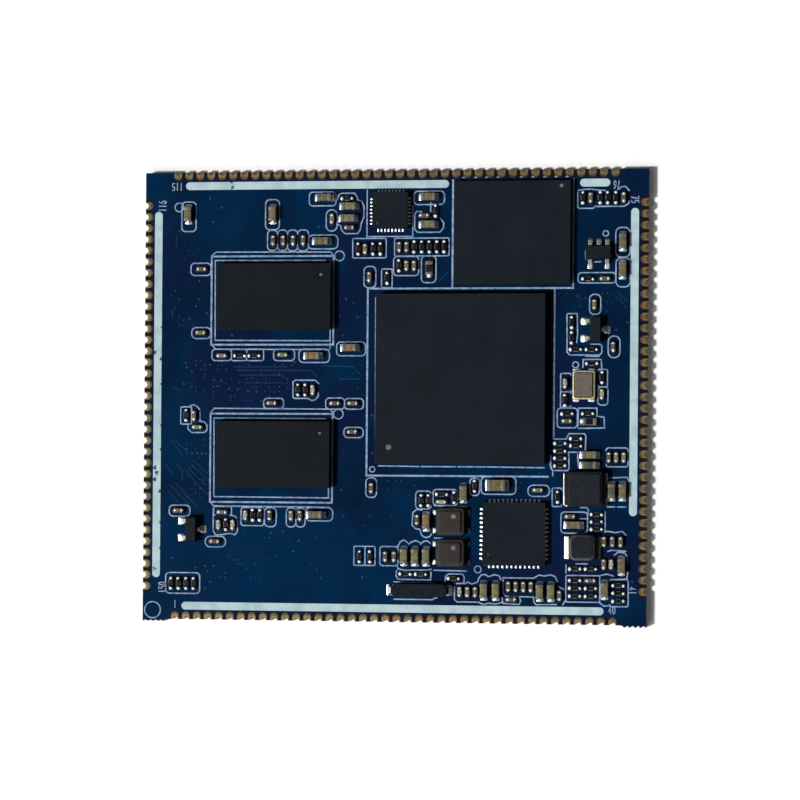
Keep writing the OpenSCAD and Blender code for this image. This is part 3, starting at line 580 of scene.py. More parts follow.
# CAD nodes that keep their shape: finish, width of the softened edges in millimetres, and the nodes
nodeFinish = [
    (solderMask, 0, "board"),
    (frontGold, 0, "pads_front"),
    (backGold, 0, "pads_back"),
    (leftGold, 0, "pads_left"),
    (rightGold, 0, "pads_right"),
    (barInk, 0, "edge_bars"),
    (lineInk, 0, "chip_outlines"),
    (carrier, 0, "processor_base memory_upper_base memory_lower_base flash_base"),
    (metals["solder"], 0, "processor_balls memory_upper_balls memory_lower_balls flash_balls"),
    (moulding, 0, "power_chip_mould small_chip_mould"),
    (metals["dullShadedTin"], 0, "power_chip_leads small_chip_leads"),
    (moulding, 0.05, "regulator_mould transistor_left_mould transistor_right_mould"),
    (metals["tinPlate"], 0.025, "regulator_leads transistor_left_leads transistor_right_leads"),
    (metals["dullShadedTin"], 0.02, "brown_coil_terminals"),
    (ceramics["crystalCeramic"], 0.03, "crystal_base"),
    (metals["lidMetal"], 0.06, "crystal_lid"),
    (ceramics["filterCeramic"], 0.05, "filter_body"),
    (ceramics["aluminaCeramic"], 0, "resistors mid_resistors"),
    (ceramics["resistorCoat"], 0.015, "resistor_coats"),
    (ceramics["resistorCoat"], 0.02, "mid_resistor_coats"),
]


def softenEdges(thing, width):
    weld = thing.modifiers.new("weld", "WELD")
    weld.merge_threshold = 1e-6
    bevel = thing.modifiers.new("softEdges", "BEVEL")
    bevel.width = width * mm
    bevel.segments = 3
    bevel.limit_method = "ANGLE"
    bevel.angle_limit = math.radians(32)


for finish, softness, names in nodeFinish:
    for nodeName in names.split():
        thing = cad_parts[nodeName]
        for materialSlot in thing.material_slots:
            materialSlot.material = finish
        if softness:
            softenEdges(thing, softness)
print("CAD nodes finished:", sum(len(names.split()) for _, _, names in nodeFinish))


# helpers for new pieces
def islandBoxes(nodeName):
    # the boxes of a node's separate solids, found by joining corners at the same micrometre
    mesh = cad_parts[nodeName].data
    spots = [tuple(round(value * 1e6) for value in vertex.co) for vertex in mesh.vertices]
    parent = {spot: spot for spot in spots}

    def root(spot):
        while parent[spot] != spot:
            parent[spot] = spot = parent[parent[spot]]
        return spot

    for polygon in mesh.polygons:
        for corner in polygon.vertices[1:]:
            parent[root(spots[corner])] = root(spots[polygon.vertices[0]])
    groups = {}
    for spot, vertex in zip(spots, mesh.vertices):
        groups.setdefault(root(spot), []).append(vertex.co)
    boxes = [(Vector(map(min, *points)), Vector(map(max, *points))) for points in groups.values()]
    return sorted(boxes, key=lambda pair: [round(value, 6) for value in pair[0]])


def finishPiece(name, bm, materials, replaced=(), smoothAngle=30):
    bmesh.ops.recalc_face_normals(bm, faces=bm.faces[:])
    mesh = bpy.data.meshes.new(name)
    bm.to_mesh(mesh)
    bm.free()
    for material in materials:
        mesh.materials.append(material)
    mesh.polygons.foreach_set("use_smooth", [True] * len(mesh.polygons))
    mesh.set_sharp_from_angle(angle=math.radians(smoothAngle))
    piece = bpy.data.objects.new(name, mesh)
    bpy.context.scene.collection.objects.link(piece)
    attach(piece, "root")
    if replaced:
        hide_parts(*replaced)


def addLoops(bm, loops, material=0, capStart=True, capEnd=True):
    # skins a row of equal closed loops of points
    rings = [[bm.verts.new(point) for point in loop] for loop in loops]
    count = len(rings[0])
    faces = []
    for lower, upper in zip(rings, rings[1:]):
        for i in range(count):
            j = (i + 1) % count
            faces.append(bm.faces.new((lower[i], lower[j], upper[j], upper[i])))
    if capStart:
        faces.append(bm.faces.new(rings[0][::-1]))
    if capEnd:
        faces.append(bm.faces.new(rings[-1]))
    for face in faces:
        face.material_index = material
    return rings


def roundedLoop(x0, x1, y0, y1, radius, z, steps=3):
    points = []
    corners = [(x1 - radius, y0 + radius, -90), (x1 - radius, y1 - radius, 0),
               (x0 + radius, y1 - radius, 90), (x0 + radius, y0 + radius, 180)]
    for cx, cy, start in corners:
        for step in range(steps + 1):
            angle = math.radians(start + 90 * step / steps)
            points.append((cx + radius * math.cos(angle), cy + radius * math.sin(angle), z))
    return points


def insetLoop(low, high, inset, radius, z, steps=3):
    # the rounded outline of a box, drawn in from its sides
    return roundedLoop(low.x + inset, high.x - inset, low.y + inset, high.y - inset, radius, z, steps)


def circleLoop(x, y, radius, z, count):
    angles = [math.tau * i / count for i in range(count)]
    return [(x + radius * math.cos(angle), y + radius * math.sin(angle), z) for angle in angles]


def addSoftBlock(bm, low, high, edge, corner=None, material=0, steps=3):
    # a block with rounded upright corners and rounded top edges
    corner = max(corner or edge, edge)
    loops = [insetLoop(low, high, 0.0, corner, low.z, steps)]
    for step in range(steps + 1):
        angle = math.radians(90 * step / steps)
        inset = edge * (1 - math.cos(angle))
        z = high.z - edge + edge * math.sin(angle)
        loops.append(insetLoop(low, high, inset, max(corner - inset, 1e-6), z, steps))
    return addLoops(bm, loops, material)


def closeBelow(bm, rows, level, material=0):
    # walls from the border of a grid of corners down to a flat base
    border = [row[0] for row in rows] + rows[-1][1:] + [row[-1] for row in rows[-2::-1]] + rows[0][-2:0:-1]
    base = [bm.verts.new((v.co.x, v.co.y, level)) for v in border]
    for k in range(len(border)):
        n = (k + 1) % len(border)
        bm.faces.new((border[k], border[n], base[n], base[k])).material_index = material
    bm.faces.new(base)


# chip mouldings with softened edges and a dished first-pin mark
mouldSet = {
    "edge": 0.06 * mm,
    "corner": 0.12 * mm,
    "rim": 0.05 * mm,
    "rimCorner": 0.03 * mm,
    "markDepth": 0.02 * mm,
    "dish": ((1.15, 0.0), (1.0, 0.0), (0.95, 0.5), (0.88, 0.9)),  # shares of the mark's radius and depth
    "disc": ((0.7, 0.0), (0.64, 0.005), (0.4, 0.008)),  # share of the radius, rise in millimetres
}


def firstPinMark(nodeName, settings):
    # centre, radius and floor of the round recess in the top of a chip's moulding
    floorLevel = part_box(nodeName)[1].z - settings["markDepth"]
    rim = [v.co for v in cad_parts[nodeName].data.vertices if abs(v.co.z - floorLevel) < 2e-7]
    x0, x1 = min(p.x for p in rim), max(p.x for p in rim)
    y0, y1 = min(p.y for p in rim), max(p.y for p in rim)
    return Vector(((x0 + x1) / 2, (y0 + y1) / 2)), (x1 - x0) / 2, floorLevel


def addDishedMould(name, nodeName, coat, paleShare, settings):
    low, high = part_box(nodeName)
    centre, radius, _ = firstPinMark(nodeName, settings)
    bm = bmesh.new()
    rings = addSoftBlock(bm, low, high, settings["edge"], settings["corner"])
    top = [f for f in bm.faces if all(abs(v.co.z - high.z) < 1e-9 for v in f.verts)]
    bmesh.ops.delete(bm, geom=top, context="FACES_ONLY")
    inset = settings["edge"] + settings["rim"]
    flat = [bm.verts.new(spot) for spot in insetLoop(low, high, inset, settings["rimCorner"], high.z)]
    for i in range(len(flat)):
        j = (i + 1) % len(flat)
        bm.faces.new((rings[-1][i], rings[-1][j], flat[j], flat[i]))
    outer = [bm.edges.get((a, b)) for a, b in zip(flat, flat[1:] + flat[:1])]
    dish = [
        circleLoop(centre.x, centre.y, radius * share, high.z - settings["markDepth"] * drop, 24)
        for share, drop in (*settings["dish"], (paleShare, 1.0))
    ]
    dishRings = addLoops(bm, dish, capStart=False, capEnd=False)
    bm.faces.new(dishRings[-1]).material_index = 1
    rim = dishRings[0]
    inner = [bm.edges.get((a, b)) for a, b in zip(rim, rim[1:] + rim[:1])]
    bmesh.ops.triangle_fill(bm, edges=outer + inner, use_beauty=True)
    finishPiece(name, bm, [coat, firstPinDot], [nodeName])


for pieceName, nodeName, coat, paleShare in (
    ("processorMould", "processor_mould", moulding, 0.82),
    ("upperMemoryMould", "memory_upper_mould", memoryMoulding, 0.66),
    ("lowerMemoryMould", "memory_lower_mould", memoryMoulding, 0.66),
    ("flashMould", "flash_mould", moulding, 0.8),
):
    addDishedMould(pieceName, nodeName, coat, paleShare, mouldSet)


def addPinDots(settings):
    # a faint etched disc in the first-pin marks of the two leadless chips
    bm = bmesh.new()
    for nodeName in ("power_chip_mould", "small_chip_mould"):
        centre, radius, floorLevel = firstPinMark(nodeName, settings)
        addLoops(bm, [
            circleLoop(centre.x, centre.y, radius * share, floorLevel + rise * mm, 20)
            for share, rise in settings["disc"]
        ])
    finishPiece("leadlessPinDots", bm, [faintPinDot], smoothAngle=40)


addPinDots(mouldSet)
print("chip mouldings made")


# ceramic bodies of the capacitors, in the fired colours seen on the board
capacitorSet = {
    "edge": 0.03 * mm,
    "named": {
        "pale": [(-9.05, 0.7), (19.35, 1.5), (23.45, 0.3), (-19.75, -14.6), (-16.65, -13.45),
                 (7.75, -21.8), (5.6, -11.8), (24.6, -18.5), (-18.1, -14.55)],
        "orange": [(3.95, -14.0), (-9.05, 4.55), (-4.85, 5.45), (-13.8, 20.6), (-19.6, 4.5)],
        "olive": [(1.45, -17.9), (2.75, -17.9), (3.95, -17.9), (10.45, -21.65), (11.8, -21.65),
                  (16.7, -21.7), (17.95, -21.7), (-5.1, 21.4), (-5.1, 20.1), (4.2, 19.3)],
        "dullGreen": [(24.6, -10.45), (22.1, -7.4)],
    },
    "smallMix": ["brown", "pinkGrey", "tan", "olive", "brown", "tan"],
    "reach": 0.7 * mm,
}


def addCapacitorBodies(name, nodeName, settings, mixed):
    kinds = ["tan", "olive", "orange", "pale", "dullGreen", "brown", "pinkGrey"]
    bm = bmesh.new()
    chooser = random.Random(7)
    for low, high in islandBoxes(nodeName):
        middle = (low + high) / 2
        pick = chooser.choice(settings["smallMix"]) if mixed else "tan"
        for kind, spots in settings["named"].items():
            if any(math.hypot(middle.x - x * mm, middle.y - y * mm) < settings["reach"] for x, y in spots):
                pick = kind
        addSoftBlock(bm, low, high, settings["edge"], material=kinds.index(pick), steps=2)
    fired = [ceramics[kind + "Ceramic"] for kind in kinds]
    finishPiece(name, bm, fired, [nodeName])


addCapacitorBodies("smallCapacitorBodies", "small_capacitors", capacitorSet, True)
addCapacitorBodies("midCapacitorBodies", "mid_capacitors", capacitorSet, False)
addCapacitorBodies("largeCapacitorBody", "large_capacitor", capacitorSet, False)
print("capacitor bodies made")


# metal ends of the chip parts, with beads over or beside them in a near-white, mostly matt solder: painted
# highlights that stand for the glints on the joints
endSet = {
    "smallCapacitorEnds": {"node": "small_capacitor_ends", "body": "small_capacitors", "edge": 0.025,
                           "bead": 0.2, "out": -0.12, "height": 1.05},
    "midCapacitorEnds": {"node": "mid_capacitor_ends", "body": "mid_capacitors", "edge": 0.03,
                         "bead": 0.2, "out": 0.1, "height": 0.5, "nearOnly": True},
    "largeCapacitorEnds": {"node": "large_capacitor_ends", "edge": 0.04},
    "resistorEnds": {"node": "resistor_ends", "body": "resistors", "edge": 0.03, "coat": "dullShadedTin",
                     "bead": 0.21, "out": 0.05, "height": 1.06},
    "midResistorEnds": {"node": "mid_resistor_ends", "body": "mid_resistors", "edge": 0.03,
                        "bead": 0.27, "out": 0.0, "height": 1.04, "nearOnly": True},
    "filterEnds": {"node": "filter_ends", "edge": 0.04, "coat": "dullShadedTin", "highlightLeftEnd": True},
}


beadSet = {
    # upright below, domed above: shares of the radius and of the height
    "dome": ((1.0, 0.0), (1.0, 0.4), (0.97, 0.6), (0.88, 0.78), (0.72, 0.9), (0.5, 0.97), (0.24, 1.0)),
    "start": 0.03,
    "offCentre": 0.03,
    # the beads towards the lamps' side, left and front, are painted highlights drawn fuller than those on the
    # far side
    "farShare": 0.92,  # the beads towards the left and front edges are the fuller ones
    "variation": (0.92, 1.08),
}


def addBead(bm, centre, radius, low, top, material=1):
    addLoops(bm, [
        circleLoop(centre.x, centre.y, radius * share, low + (top - low) * rise, 14)
        for share, rise in beadSet["dome"]
    ], material)


def addMetalEnds(name, settings):
    bm = bmesh.new()
    chooser = random.Random(5)
    off = beadSet["offCentre"]
    boxes = islandBoxes(settings["node"])
    bodies = islandBoxes(settings["body"]) if "body" in settings else []
    for low, high in boxes:
        # the filter's left end, on the lamps' side, is drawn in the near-white solder as a painted highlight,
        # the other end in the dark tin as painted shade
        highlightEnd = "highlightLeftEnd" in settings and low.x == boxes[0][0].x
        addSoftBlock(bm, low, high, settings["edge"] * mm, material=int(highlightEnd), steps=2)
        if not bodies:
            continue
        middle = (low + high) / 2
        bodyLow, bodyHigh = min(bodies, key=lambda box: ((box[0] + box[1]) / 2 - middle).length)
        away = middle - (bodyLow + bodyHigh) / 2
        axis = 0 if abs(away.x) > abs(away.y) else 1
        near = away[axis] < 0
        centre = Vector(middle)
        centre[axis] = low[axis] - settings["out"] * mm if near else high[axis] + settings["out"] * mm
        centre[1 - axis] += chooser.uniform(-off, off) * mm
        # the mid parts carry a painted-highlight bead only at the end on the lamps' side
        if "nearOnly" in settings and not near:
            continue
        fullness = 1.0 if near else beadSet["farShare"]
        radius = settings["bead"] * mm * fullness * chooser.uniform(*beadSet["variation"])
        top = boardTop + (high.z - boardTop) * settings["height"]
        addBead(bm, centre, radius, boardTop + beadSet["start"] * mm, top)
    coats = [metals[settings.get("coat", "endPlate")], metals["highlightSolder"]]
    finishPiece(name, bm, coats, [settings["node"]], 50)


for pieceName, settings in endSet.items():
    addMetalEnds(pieceName, settings)
print("metal ends made")


# coils: a pressed core, a raised plate whose slope is painted paler, a painted highlight for the light it
# catches, and a wet-looking dot on the brown ones
coilSet = {
    "brownCoilBodies": {"node": "brown_coil_bodies", "slot": "ferrite_brown", "core": "ferriteBrown",
                        "plate": "ferriteRimHighlight", "cut": 0.22, "wider": 0.14, "inset": 0.2, "slope": 0.16,
                        "rise": 0.25, "corner": 0.4, "rim": 0.07, "dot": (0.42, 0.6, 0.28)},
    "largeCoilBody": {"node": "large_coil_body", "slot": "ferrite_black", "core": "ferriteBlack",
                      "plate": "ferriteBlack", "round": 0.2, "inset": 0.15, "slope": 0.04,
                      "rise": 0.2, "corner": 0.35, "rim": 0.08},
    "roundCoilBody": {"node": "round_coil_body", "slot": "ferrite_black", "core": "ferriteBlack",
                      "plate": "ferriteEdgeHighlight", "round": 0.45, "inset": 0.06, "slope": 0.2,
                      "rise": 0.3, "corner": 0.7, "rim": 0.08},
}


def cutCornerLoop(low, high, inset, cut, z):
    x0, x1, y0, y1 = low.x + inset, high.x - inset, low.y + inset, high.y - inset
    return [(x0 + cut, y0, z), (x1 - cut, y0, z), (x1, y0 + cut, z), (x1, y1 - cut, z),
            (x1 - cut, y1, z), (x0 + cut, y1, z), (x0, y1 - cut, z), (x0, y0 + cut, z)]


def addCoil(name, settings):
    bm = bmesh.new()
    soft, lastRing = 0.05 * mm, 0.04 * mm
    inset, slope, corner, rim = (settings[key] * mm for key in ("inset", "slope", "corner", "rim"))
    for low, high in islandBoxes(settings["node"]):
        low.x -= settings.get("wider", 0.0) * mm
        shoulder = high.z - settings["rise"] * mm
        profile = ((0.0, low.z), (0.0, shoulder - soft), (0.3 * soft, shoulder - 0.3 * soft),
                   (soft, shoulder))
        if "cut" in settings:
            loops = [cutCornerLoop(low, high, drawn, settings["cut"] * mm, z) for drawn, z in profile]
        else:
            turn = settings["round"] * mm
            loops = [insetLoop(low, high, drawn, turn - drawn, z, 5) for drawn, z in profile]
        addLoops(bm, loops)

        def plateLoop(extra, z):
            return insetLoop(low, high, inset + extra, corner - extra, z, 6)

        def plateArc(angle):
            turn = math.radians(angle)
            return plateLoop(slope + rim * (1 - math.cos(turn)), high.z - rim + rim * math.sin(turn))

        # material 1, the plate's sides, slope and lower rim, is the paler painted highlight
        addLoops(bm, [plateLoop(0, shoulder - soft), plateLoop(0, shoulder)], 1, capEnd=False)
        addLoops(bm, [plateLoop(0, shoulder), plateLoop(slope, high.z - rim)], 1, False, False)
        for angles, material in (((0, 25, 50), 1), ((50, 72, 90), 0)):
            addLoops(bm, [plateArc(angle) for angle in angles], material, False, False)
        face = slope + rim
        addLoops(bm, [plateLoop(face, high.z), plateLoop(face + lastRing, high.z)], capStart=False)
        if "dot" in settings:
            across, along, radius = (value * mm for value in settings["dot"])
            middle = (low + high) / 2
            addLoops(bm, [
                circleLoop(middle.x + across, middle.y + along, radius * share, high.z + lift * mm, 20)
                for share, lift in ((1.0, -0.006), (0.92, 0.006), (0.55, 0.01))
            ], 2, capStart=False)
    coats = [ceramics[settings["core"]], ceramics[settings["plate"]], ceramics["ferriteDot"]]
    finishPiece(name, bm, coats, [settings["node"]], 35)


for pieceName, settings in coilSet.items():
    addCoil(pieceName, settings)


# terminals of the black coils, formed down towards their outer edges; the left ones, on the lamps' side, are
# painted paler as painted highlight and the right ones dark as painted shade
terminalSet = {
    "largeCoilTerminals": {"node": "large_coil_terminals", "body": "large_coil_body",
                           "coat": "litCoilEnd", "fall": 0.0},
    "roundCoilTerminals": {"node": "round_coil_terminals", "body": "round_coil_body",
                           "coat": "litRoundEnd", "fall": 0.1},
}


def addTerminals(name, settings):
    bm = bmesh.new()
    soft, corner = 0.03 * mm, 0.08 * mm
    fall = settings["fall"] * mm
    middleX = sum(spot.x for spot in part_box(settings["body"])) / 2
    for low, high in islandBoxes(settings["node"]):
        left = (low.x + high.x) / 2 < middleX
        width = high.x - low.x
        loops = []
        for inset, drop in ((0.0, None), (0.0, soft), (0.3 * soft, 0.3 * soft), (soft, 0.0)):
            loop = insetLoop(low, high, inset, corner - inset, low.z, 2)
            if drop is not None:
                loop = [
                    (x, y, high.z - drop - fall * ((high.x - x) if left else (x - low.x)) / width)
                    for x, y, z in loop
                ]
            loops.append(loop)
        # left terminals take the paler painted-highlight metal, right ones the dark painted-shade tin
        addLoops(bm, loops, 0 if left else 1)
    coats = [metals[settings["coat"]], metals["dullShadedTin"]]
    finishPiece(name, bm, coats, [settings["node"]], 35)


for pieceName, settings in terminalSet.items():
    addTerminals(pieceName, settings)


# the left feet of the coils, on the lamps' side, carry beads of near-white solder: painted highlights where
# their joints catch the lamp
footHighlightSet = {
    "radius": 0.27, "top": 0.36, "inward": 0.1, "halfFoot": 0.3,
    "largeRadius": 0.3, "largeTop": 0.5, "largeInward": 0.22, "largeAlong": 0.15,
}


def addFootHighlights(settings):
    bm = bmesh.new()
    middleX = sum(corner.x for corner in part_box("brown_coil_bodies")) / 2
    beads = []
    for low, high in islandBoxes("brown_coil_terminals"):
        if high.x < middleX:
            for y in (low.y + settings["halfFoot"] * mm, high.y - settings["halfFoot"] * mm):
                beads.append((low.x + settings["inward"] * mm, y, settings["radius"], settings["top"]))
    low = min((box[0] for box in islandBoxes("large_coil_terminals")), key=lambda corner: corner.x)
    beads.append((low.x + settings["largeInward"] * mm, low.y + settings["largeAlong"] * mm,
                  settings["largeRadius"], settings["largeTop"]))
    for x, y, radius, top in beads:
        addBead(bm, Vector((x, y)), radius * mm, boardTop, boardTop + top * mm, 0)
    finishPiece("coilFootHighlights", bm, [metals["highlightSolder"]], smoothAngle=50)


addFootHighlights(footHighlightSet)


# crystal: plated seal ring between the ceramic base and the lid
sealSet = {
    "corner": 0.24 * mm,
    # inset and rise in millimetres; the last three face the lid
    "steps": ((0.0, 0.0), (0.0, 0.05), (0.03, 0.09), (0.09, 0.11), (0.15, 0.11), (0.27, 0.11),
              (0.29, 0.08)),
}


def addSealRing(settings):
    low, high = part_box("crystal_base")
    bm = bmesh.new()
    loops = [
        insetLoop(low, high, inset * mm, settings["corner"], high.z + rise * mm, 4)
        for inset, rise in settings["steps"]
    ]
    addLoops(bm, loops[:5], 0, False, False)
    addLoops(bm, loops[4:], 1, False, False)
    coats = [metals["sealMetal"], metals["lidMetal"]]
    finishPiece("crystalSealRing", bm, coats, smoothAngle=60)


addSealRing(sealSet)
print("coils and crystal made")


# solder: a hollow fillet at each joint in the place of the CAD wedge
filletSet = {
    "steps": 8,
    "across": 6,
    "hollow": 2.3,
    "steep": 6.0,
    "pool": 0.085 * mm,
    "poolShare": 0.4,  # of the rise, where the joint is low
    "poolCurve": 1.8,
    "land": 0.04 * mm,
    "narrowing": 0.1,
    "sideFall": (0.45, 3),  # share and curve
    "toeRound": (0.18, 2.5),
    "shortToe": 0.05 * mm,  # a joint that reaches out less than this is a plain film
    "film": (0.01 * mm, 0.1 * mm),
}


def addFillet(bm, origin, direction, width, heel, toe, rise, material, settings):
    # local frame: u runs out from the metal's face, v runs across
    side = Vector((-direction.y, direction.x, 0))
    steps, across, land = settings["steps"], settings["across"], settings["land"]

    def spot(u, v, z):
        return origin + direction * u + side * v + Vector((0, 0, z))

    pooled = material == 0 and (direction.x < 0 or direction.y < 0)
    pool = min(settings["pool"], rise * settings["poolShare"])
    sideFall, sideCurve = settings["sideFall"]
    toeRound, toeCurve = settings["toeRound"]
    rows = []
    for i in range(steps + 1):
        share = i / steps
        half = width / 2 * (1 - settings["narrowing"] * share**3)
        if pooled:
            # a low pool of solder in front of the steep part
            ridge = (rise - pool) * (1 - share) ** settings["steep"]
            ridge += pool * (1 - share ** settings["poolCurve"])
        else:
            ridge = rise * (1 - share) ** settings["hollow"]
        row = []
        for j in range(across + 1):
            v = -1 + 2 * j / across
            lift = ridge * (1 - sideFall * abs(v) ** sideCurve)
            out = toe * (1 - toeRound * abs(v) ** toeCurve) if i == steps else toe * share
            row.append(bm.verts.new(spot(out, half * v, land + lift)))
        rows.append(row)
    for a, b in zip(rows, rows[1:]):
        for j in range(across):
            bm.faces.new((a[j], b[j], b[j + 1], a[j + 1])).material_index = material
    closeBelow(bm, rows, origin.z, material)
    if heel > 0:
        corners = [spot(u, v * width / 2, 0) for u, v in ((-heel, -1), (0, -1), (0, 1), (-heel, 1))]
        addLoops(bm, [corners, [c + Vector((0, 0, land)) for c in corners]])


def addSolder(name, solderNode, metalNodes, settings):
    # the fillets of these parts are drawn in the dark tin, which is partly painted shade
    dulled = ("resistor_ends", "mid_resistor_ends", "small_capacitor_ends")
    metalBoxes = [(*box, int(node in dulled)) for node in metalNodes for box in islandBoxes(node)]
    bm = bmesh.new()
    for low, high in islandBoxes(solderNode):
        middle = (low + high) / 2
        best, bestShare = None, 0.0
        for metalLow, metalHigh, material in metalBoxes:
            w = min(high.x, metalHigh.x) - max(low.x, metalLow.x)
            d = min(high.y, metalHigh.y) - max(low.y, metalLow.y)
            share = (w + 1e-5) * (d + 1e-5)
            if w > -1e-6 and d > -1e-6 and share > bestShare:
                best, bestShare = (metalLow, metalHigh, material), share
        metalLow, metalHigh, material = best
        gaps = {
            (1, 0): high.x - metalHigh.x, (-1, 0): metalLow.x - low.x,
            (0, 1): high.y - metalHigh.y, (0, -1): metalLow.y - low.y,
        }
        way = max(gaps, key=gaps.get)
        toe = gaps[way]
        if toe < settings["shortToe"]:
            addSoftBlock(bm, low, high, *settings["film"], steps=2)
            continue
        axis = 0 if way[0] else 1
        origin = Vector((middle.x, middle.y, low.z))
        origin[axis] = metalHigh[axis] if sum(way) > 0 else metalLow[axis]
        length, width = high[axis] - low[axis], high[1 - axis] - low[1 - axis]
        rise = high.z - low.z - settings["land"]
        addFillet(bm, origin, Vector((*way, 0)), width, length - toe, toe, rise, material, settings)
    finishPiece(name, bm, [metals["solder"], metals["dullShadedTin"]], [solderNode], 50)


for pieceName, solderNode, metalNodes in (
    ("chipPartFillets", "chip_part_solder",
     ["small_capacitor_ends", "mid_capacitor_ends", "large_capacitor_ends", "resistor_ends",
      "mid_resistor_ends"]),
    ("coilFillets", "coil_and_filter_solder",
     ["brown_coil_terminals", "large_coil_terminals", "round_coil_terminals", "filter_ends"]),
    ("powerChipFillets", "power_chip_solder", ["power_chip_leads"]),
    ("smallChipFillets", "small_chip_solder", ["small_chip_leads"]),
):
    addSolder(pieceName, solderNode, metalNodes, filletSet)


# solder round the feet of the leaded parts: a film over the land that climbs towards the foot
leadJointSet = {
    "rows": 14,
    "reach": 0.34 * mm,
    "climbCurve": 2.2,
    "film": 0.035 * mm,
    "thinShare": 0.25,  # of the film, left at the land's edge
    "edge": 0.1 * mm,
    "cornerPull": 0.1,
}


def addLeadJoints(settings):
    leads = [box for node in ("regulator_leads", "transistor_left_leads", "transistor_right_leads")
             for box in islandBoxes(node)]
    bm = bmesh.new()
    count = settings["rows"]
    for low, high in islandBoxes("leaded_part_solder"):
        footLow, footHigh = max(
            leads, key=lambda box: min(min(high.x, box[1].x) - max(low.x, box[0].x),
                                       min(high.y, box[1].y) - max(low.y, box[0].y)))
        x0, x1 = max(footLow.x, low.x), min(footHigh.x, high.x)
        y0, y1 = max(footLow.y, low.y), min(footHigh.y, high.y)
        climb = high.z - low.z - settings["film"]
        grid = []
        for i in range(count + 1):
            row = []
            for j in range(count + 1):
                # square to rounded square, so the land's corners are soft
                u, v = 2 * i / count - 1, 2 * j / count - 1
                pull = 1 - settings["cornerPull"] * (u * u * v * v)
                x = (low.x + high.x) / 2 + (high.x - low.x) / 2 * u * pull
                y = (low.y + high.y) / 2 + (high.y - low.y) / 2 * v * pull
                away = math.hypot(max(x0 - x, 0, x - x1), max(y0 - y, 0, y - y1))
                rim = min(1 - abs(u), 1 - abs(v)) * (high.y - low.y) / 2
                film = settings["film"] * min(1.0, settings["thinShare"] + rim / settings["edge"])
                lift = climb * max(0.0, 1 - away / settings["reach"]) ** settings["climbCurve"]
                row.append(bm.verts.new((x, y, low.z + film + lift)))
            grid.append(row)
        for i in range(count):
            for j in range(count):
                bm.faces.new((grid[i][j], grid[i + 1][j], grid[i + 1][j + 1], grid[i][j + 1]))
        closeBelow(bm, grid, low.z)
    finishPiece("leadJoints", bm, [metals["solder"]], ["leaded_part_solder"], 60)


addLeadJoints(leadJointSet)


# the crystal's lands, with solder heaped against its base on the front side; lands and heaps are drawn in the
# near-white solder as painted highlights
landSet = {
    "edge": 0.03 * mm,
    "corner": 0.1 * mm,
    "heap": {"side": 0.05 * mm, "reach": 0.26 * mm, "under": 0.02 * mm, "height": 0.22 * mm,
             "soft": 0.12 * mm},
}


def addCrystalLands(settings):
    bm = bmesh.new()
    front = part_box("crystal_base")[0].y
    heap = settings["heap"]
    for low, high in islandBoxes("crystal_solder"):
        addSoftBlock(bm, low, high, settings["edge"], settings["corner"])
        if low.y < front:
            heapLow = Vector((low.x + heap["side"], front - heap["reach"], low.z))
            heapHigh = Vector((high.x - heap["side"], front + heap["under"], high.z + heap["height"]))
            addSoftBlock(bm, heapLow, heapHigh, heap["soft"], heap["soft"])
    finishPiece("crystalLands", bm, [metals["highlightSolder"]], ["crystal_solder"], 40)


addCrystalLands(landSet)
print("solder made")


# printed lines, a few hundredths of a millimetre thick; crossing lines differ a little in height
printSet = {
    "lineWidth": 0.145 * mm,
    "ringWidth": 0.14 * mm,
    "lift": 0.02 * mm,
    "pathDrop": 0.004 * mm,
    "ringRise": 0.008 * mm,
    "levelStep": 0.0009 * mm,
    "levels": 7,
}
ribbonSet = {
    "crown": 0.86,  # width of the flat top as a share of the foot
    "tips": ((0.3, 0.8), (0.48, 0.4)),  # reach and width of a rounded end as shares of the line's width
    "mitre": 1.6,  # the most that a corner is widened
}


def addRibbon(bm, spots, width, top, closed=False):
    # a low flat strip along a path, with rounded ends where it is open
    ways = [(after - spot).normalized() for spot, after in zip(spots, spots[1:] + spots[:1])]
    if closed:
        intos, outs = ways[-1:] + ways[:-1], ways
    else:
        intos, outs = ways[:1] + ways[:-1], ways[:-1] + ways[-2:-1]
    sections = []
    for spot, into, out in zip(spots, intos, outs):
        along = (into + out).normalized() if (into + out).length > 1e-9 else into
        across = Vector((-along.y, along.x))
        straight = abs(across.dot(Vector((-into.y, into.x))))
        sections.append((spot, across * min(1.0 / max(straight, 0.5), ribbonSet["mitre"]), 1.0))
    if not closed:
        first, last = intos[0], outs[-1]
        for reach, share in ribbonSet["tips"]:
            sections.insert(0, (spots[0] - first * width * reach, Vector((-first.y, first.x)), share))
            sections.append((spots[-1] + last * width * reach, Vector((-last.y, last.x)), share))
    rails = []
    crown = ribbonSet["crown"]
    for spot, across, share in sections:
        half = across * (width / 2 * share)
        rails.append([
            bm.verts.new((spot.x + half.x * k, spot.y + half.y * k, z))
            for k, z in ((1, boardTop), (crown, top), (-crown, top), (-1, boardTop))
        ])
    for a, b in zip(rails, rails[1:] + (rails[:1] if closed else [])):
        for k in range(3):
            bm.faces.new((a[k], b[k], b[k + 1], a[k + 1]))
    if not closed:
        for end in (rails[0], rails[-1]):
            bm.faces.new(end)


def boxPath(x0, x1, y0, y1, radius, openSide=""):
    # the rounded box as a path; with an open side the path starts and ends beside it
    path = [(x, y) for x, y, _ in roundedLoop(x0, x1, y0, y1, radius, 0, 4)]
    at = 5 * ("RTLB".index(openSide) + 1) if openSide else 0
    return path[at:] + path[:at]


def inMetres(path):
    return [Vector((x * mm, y * mm)) for x, y in path]


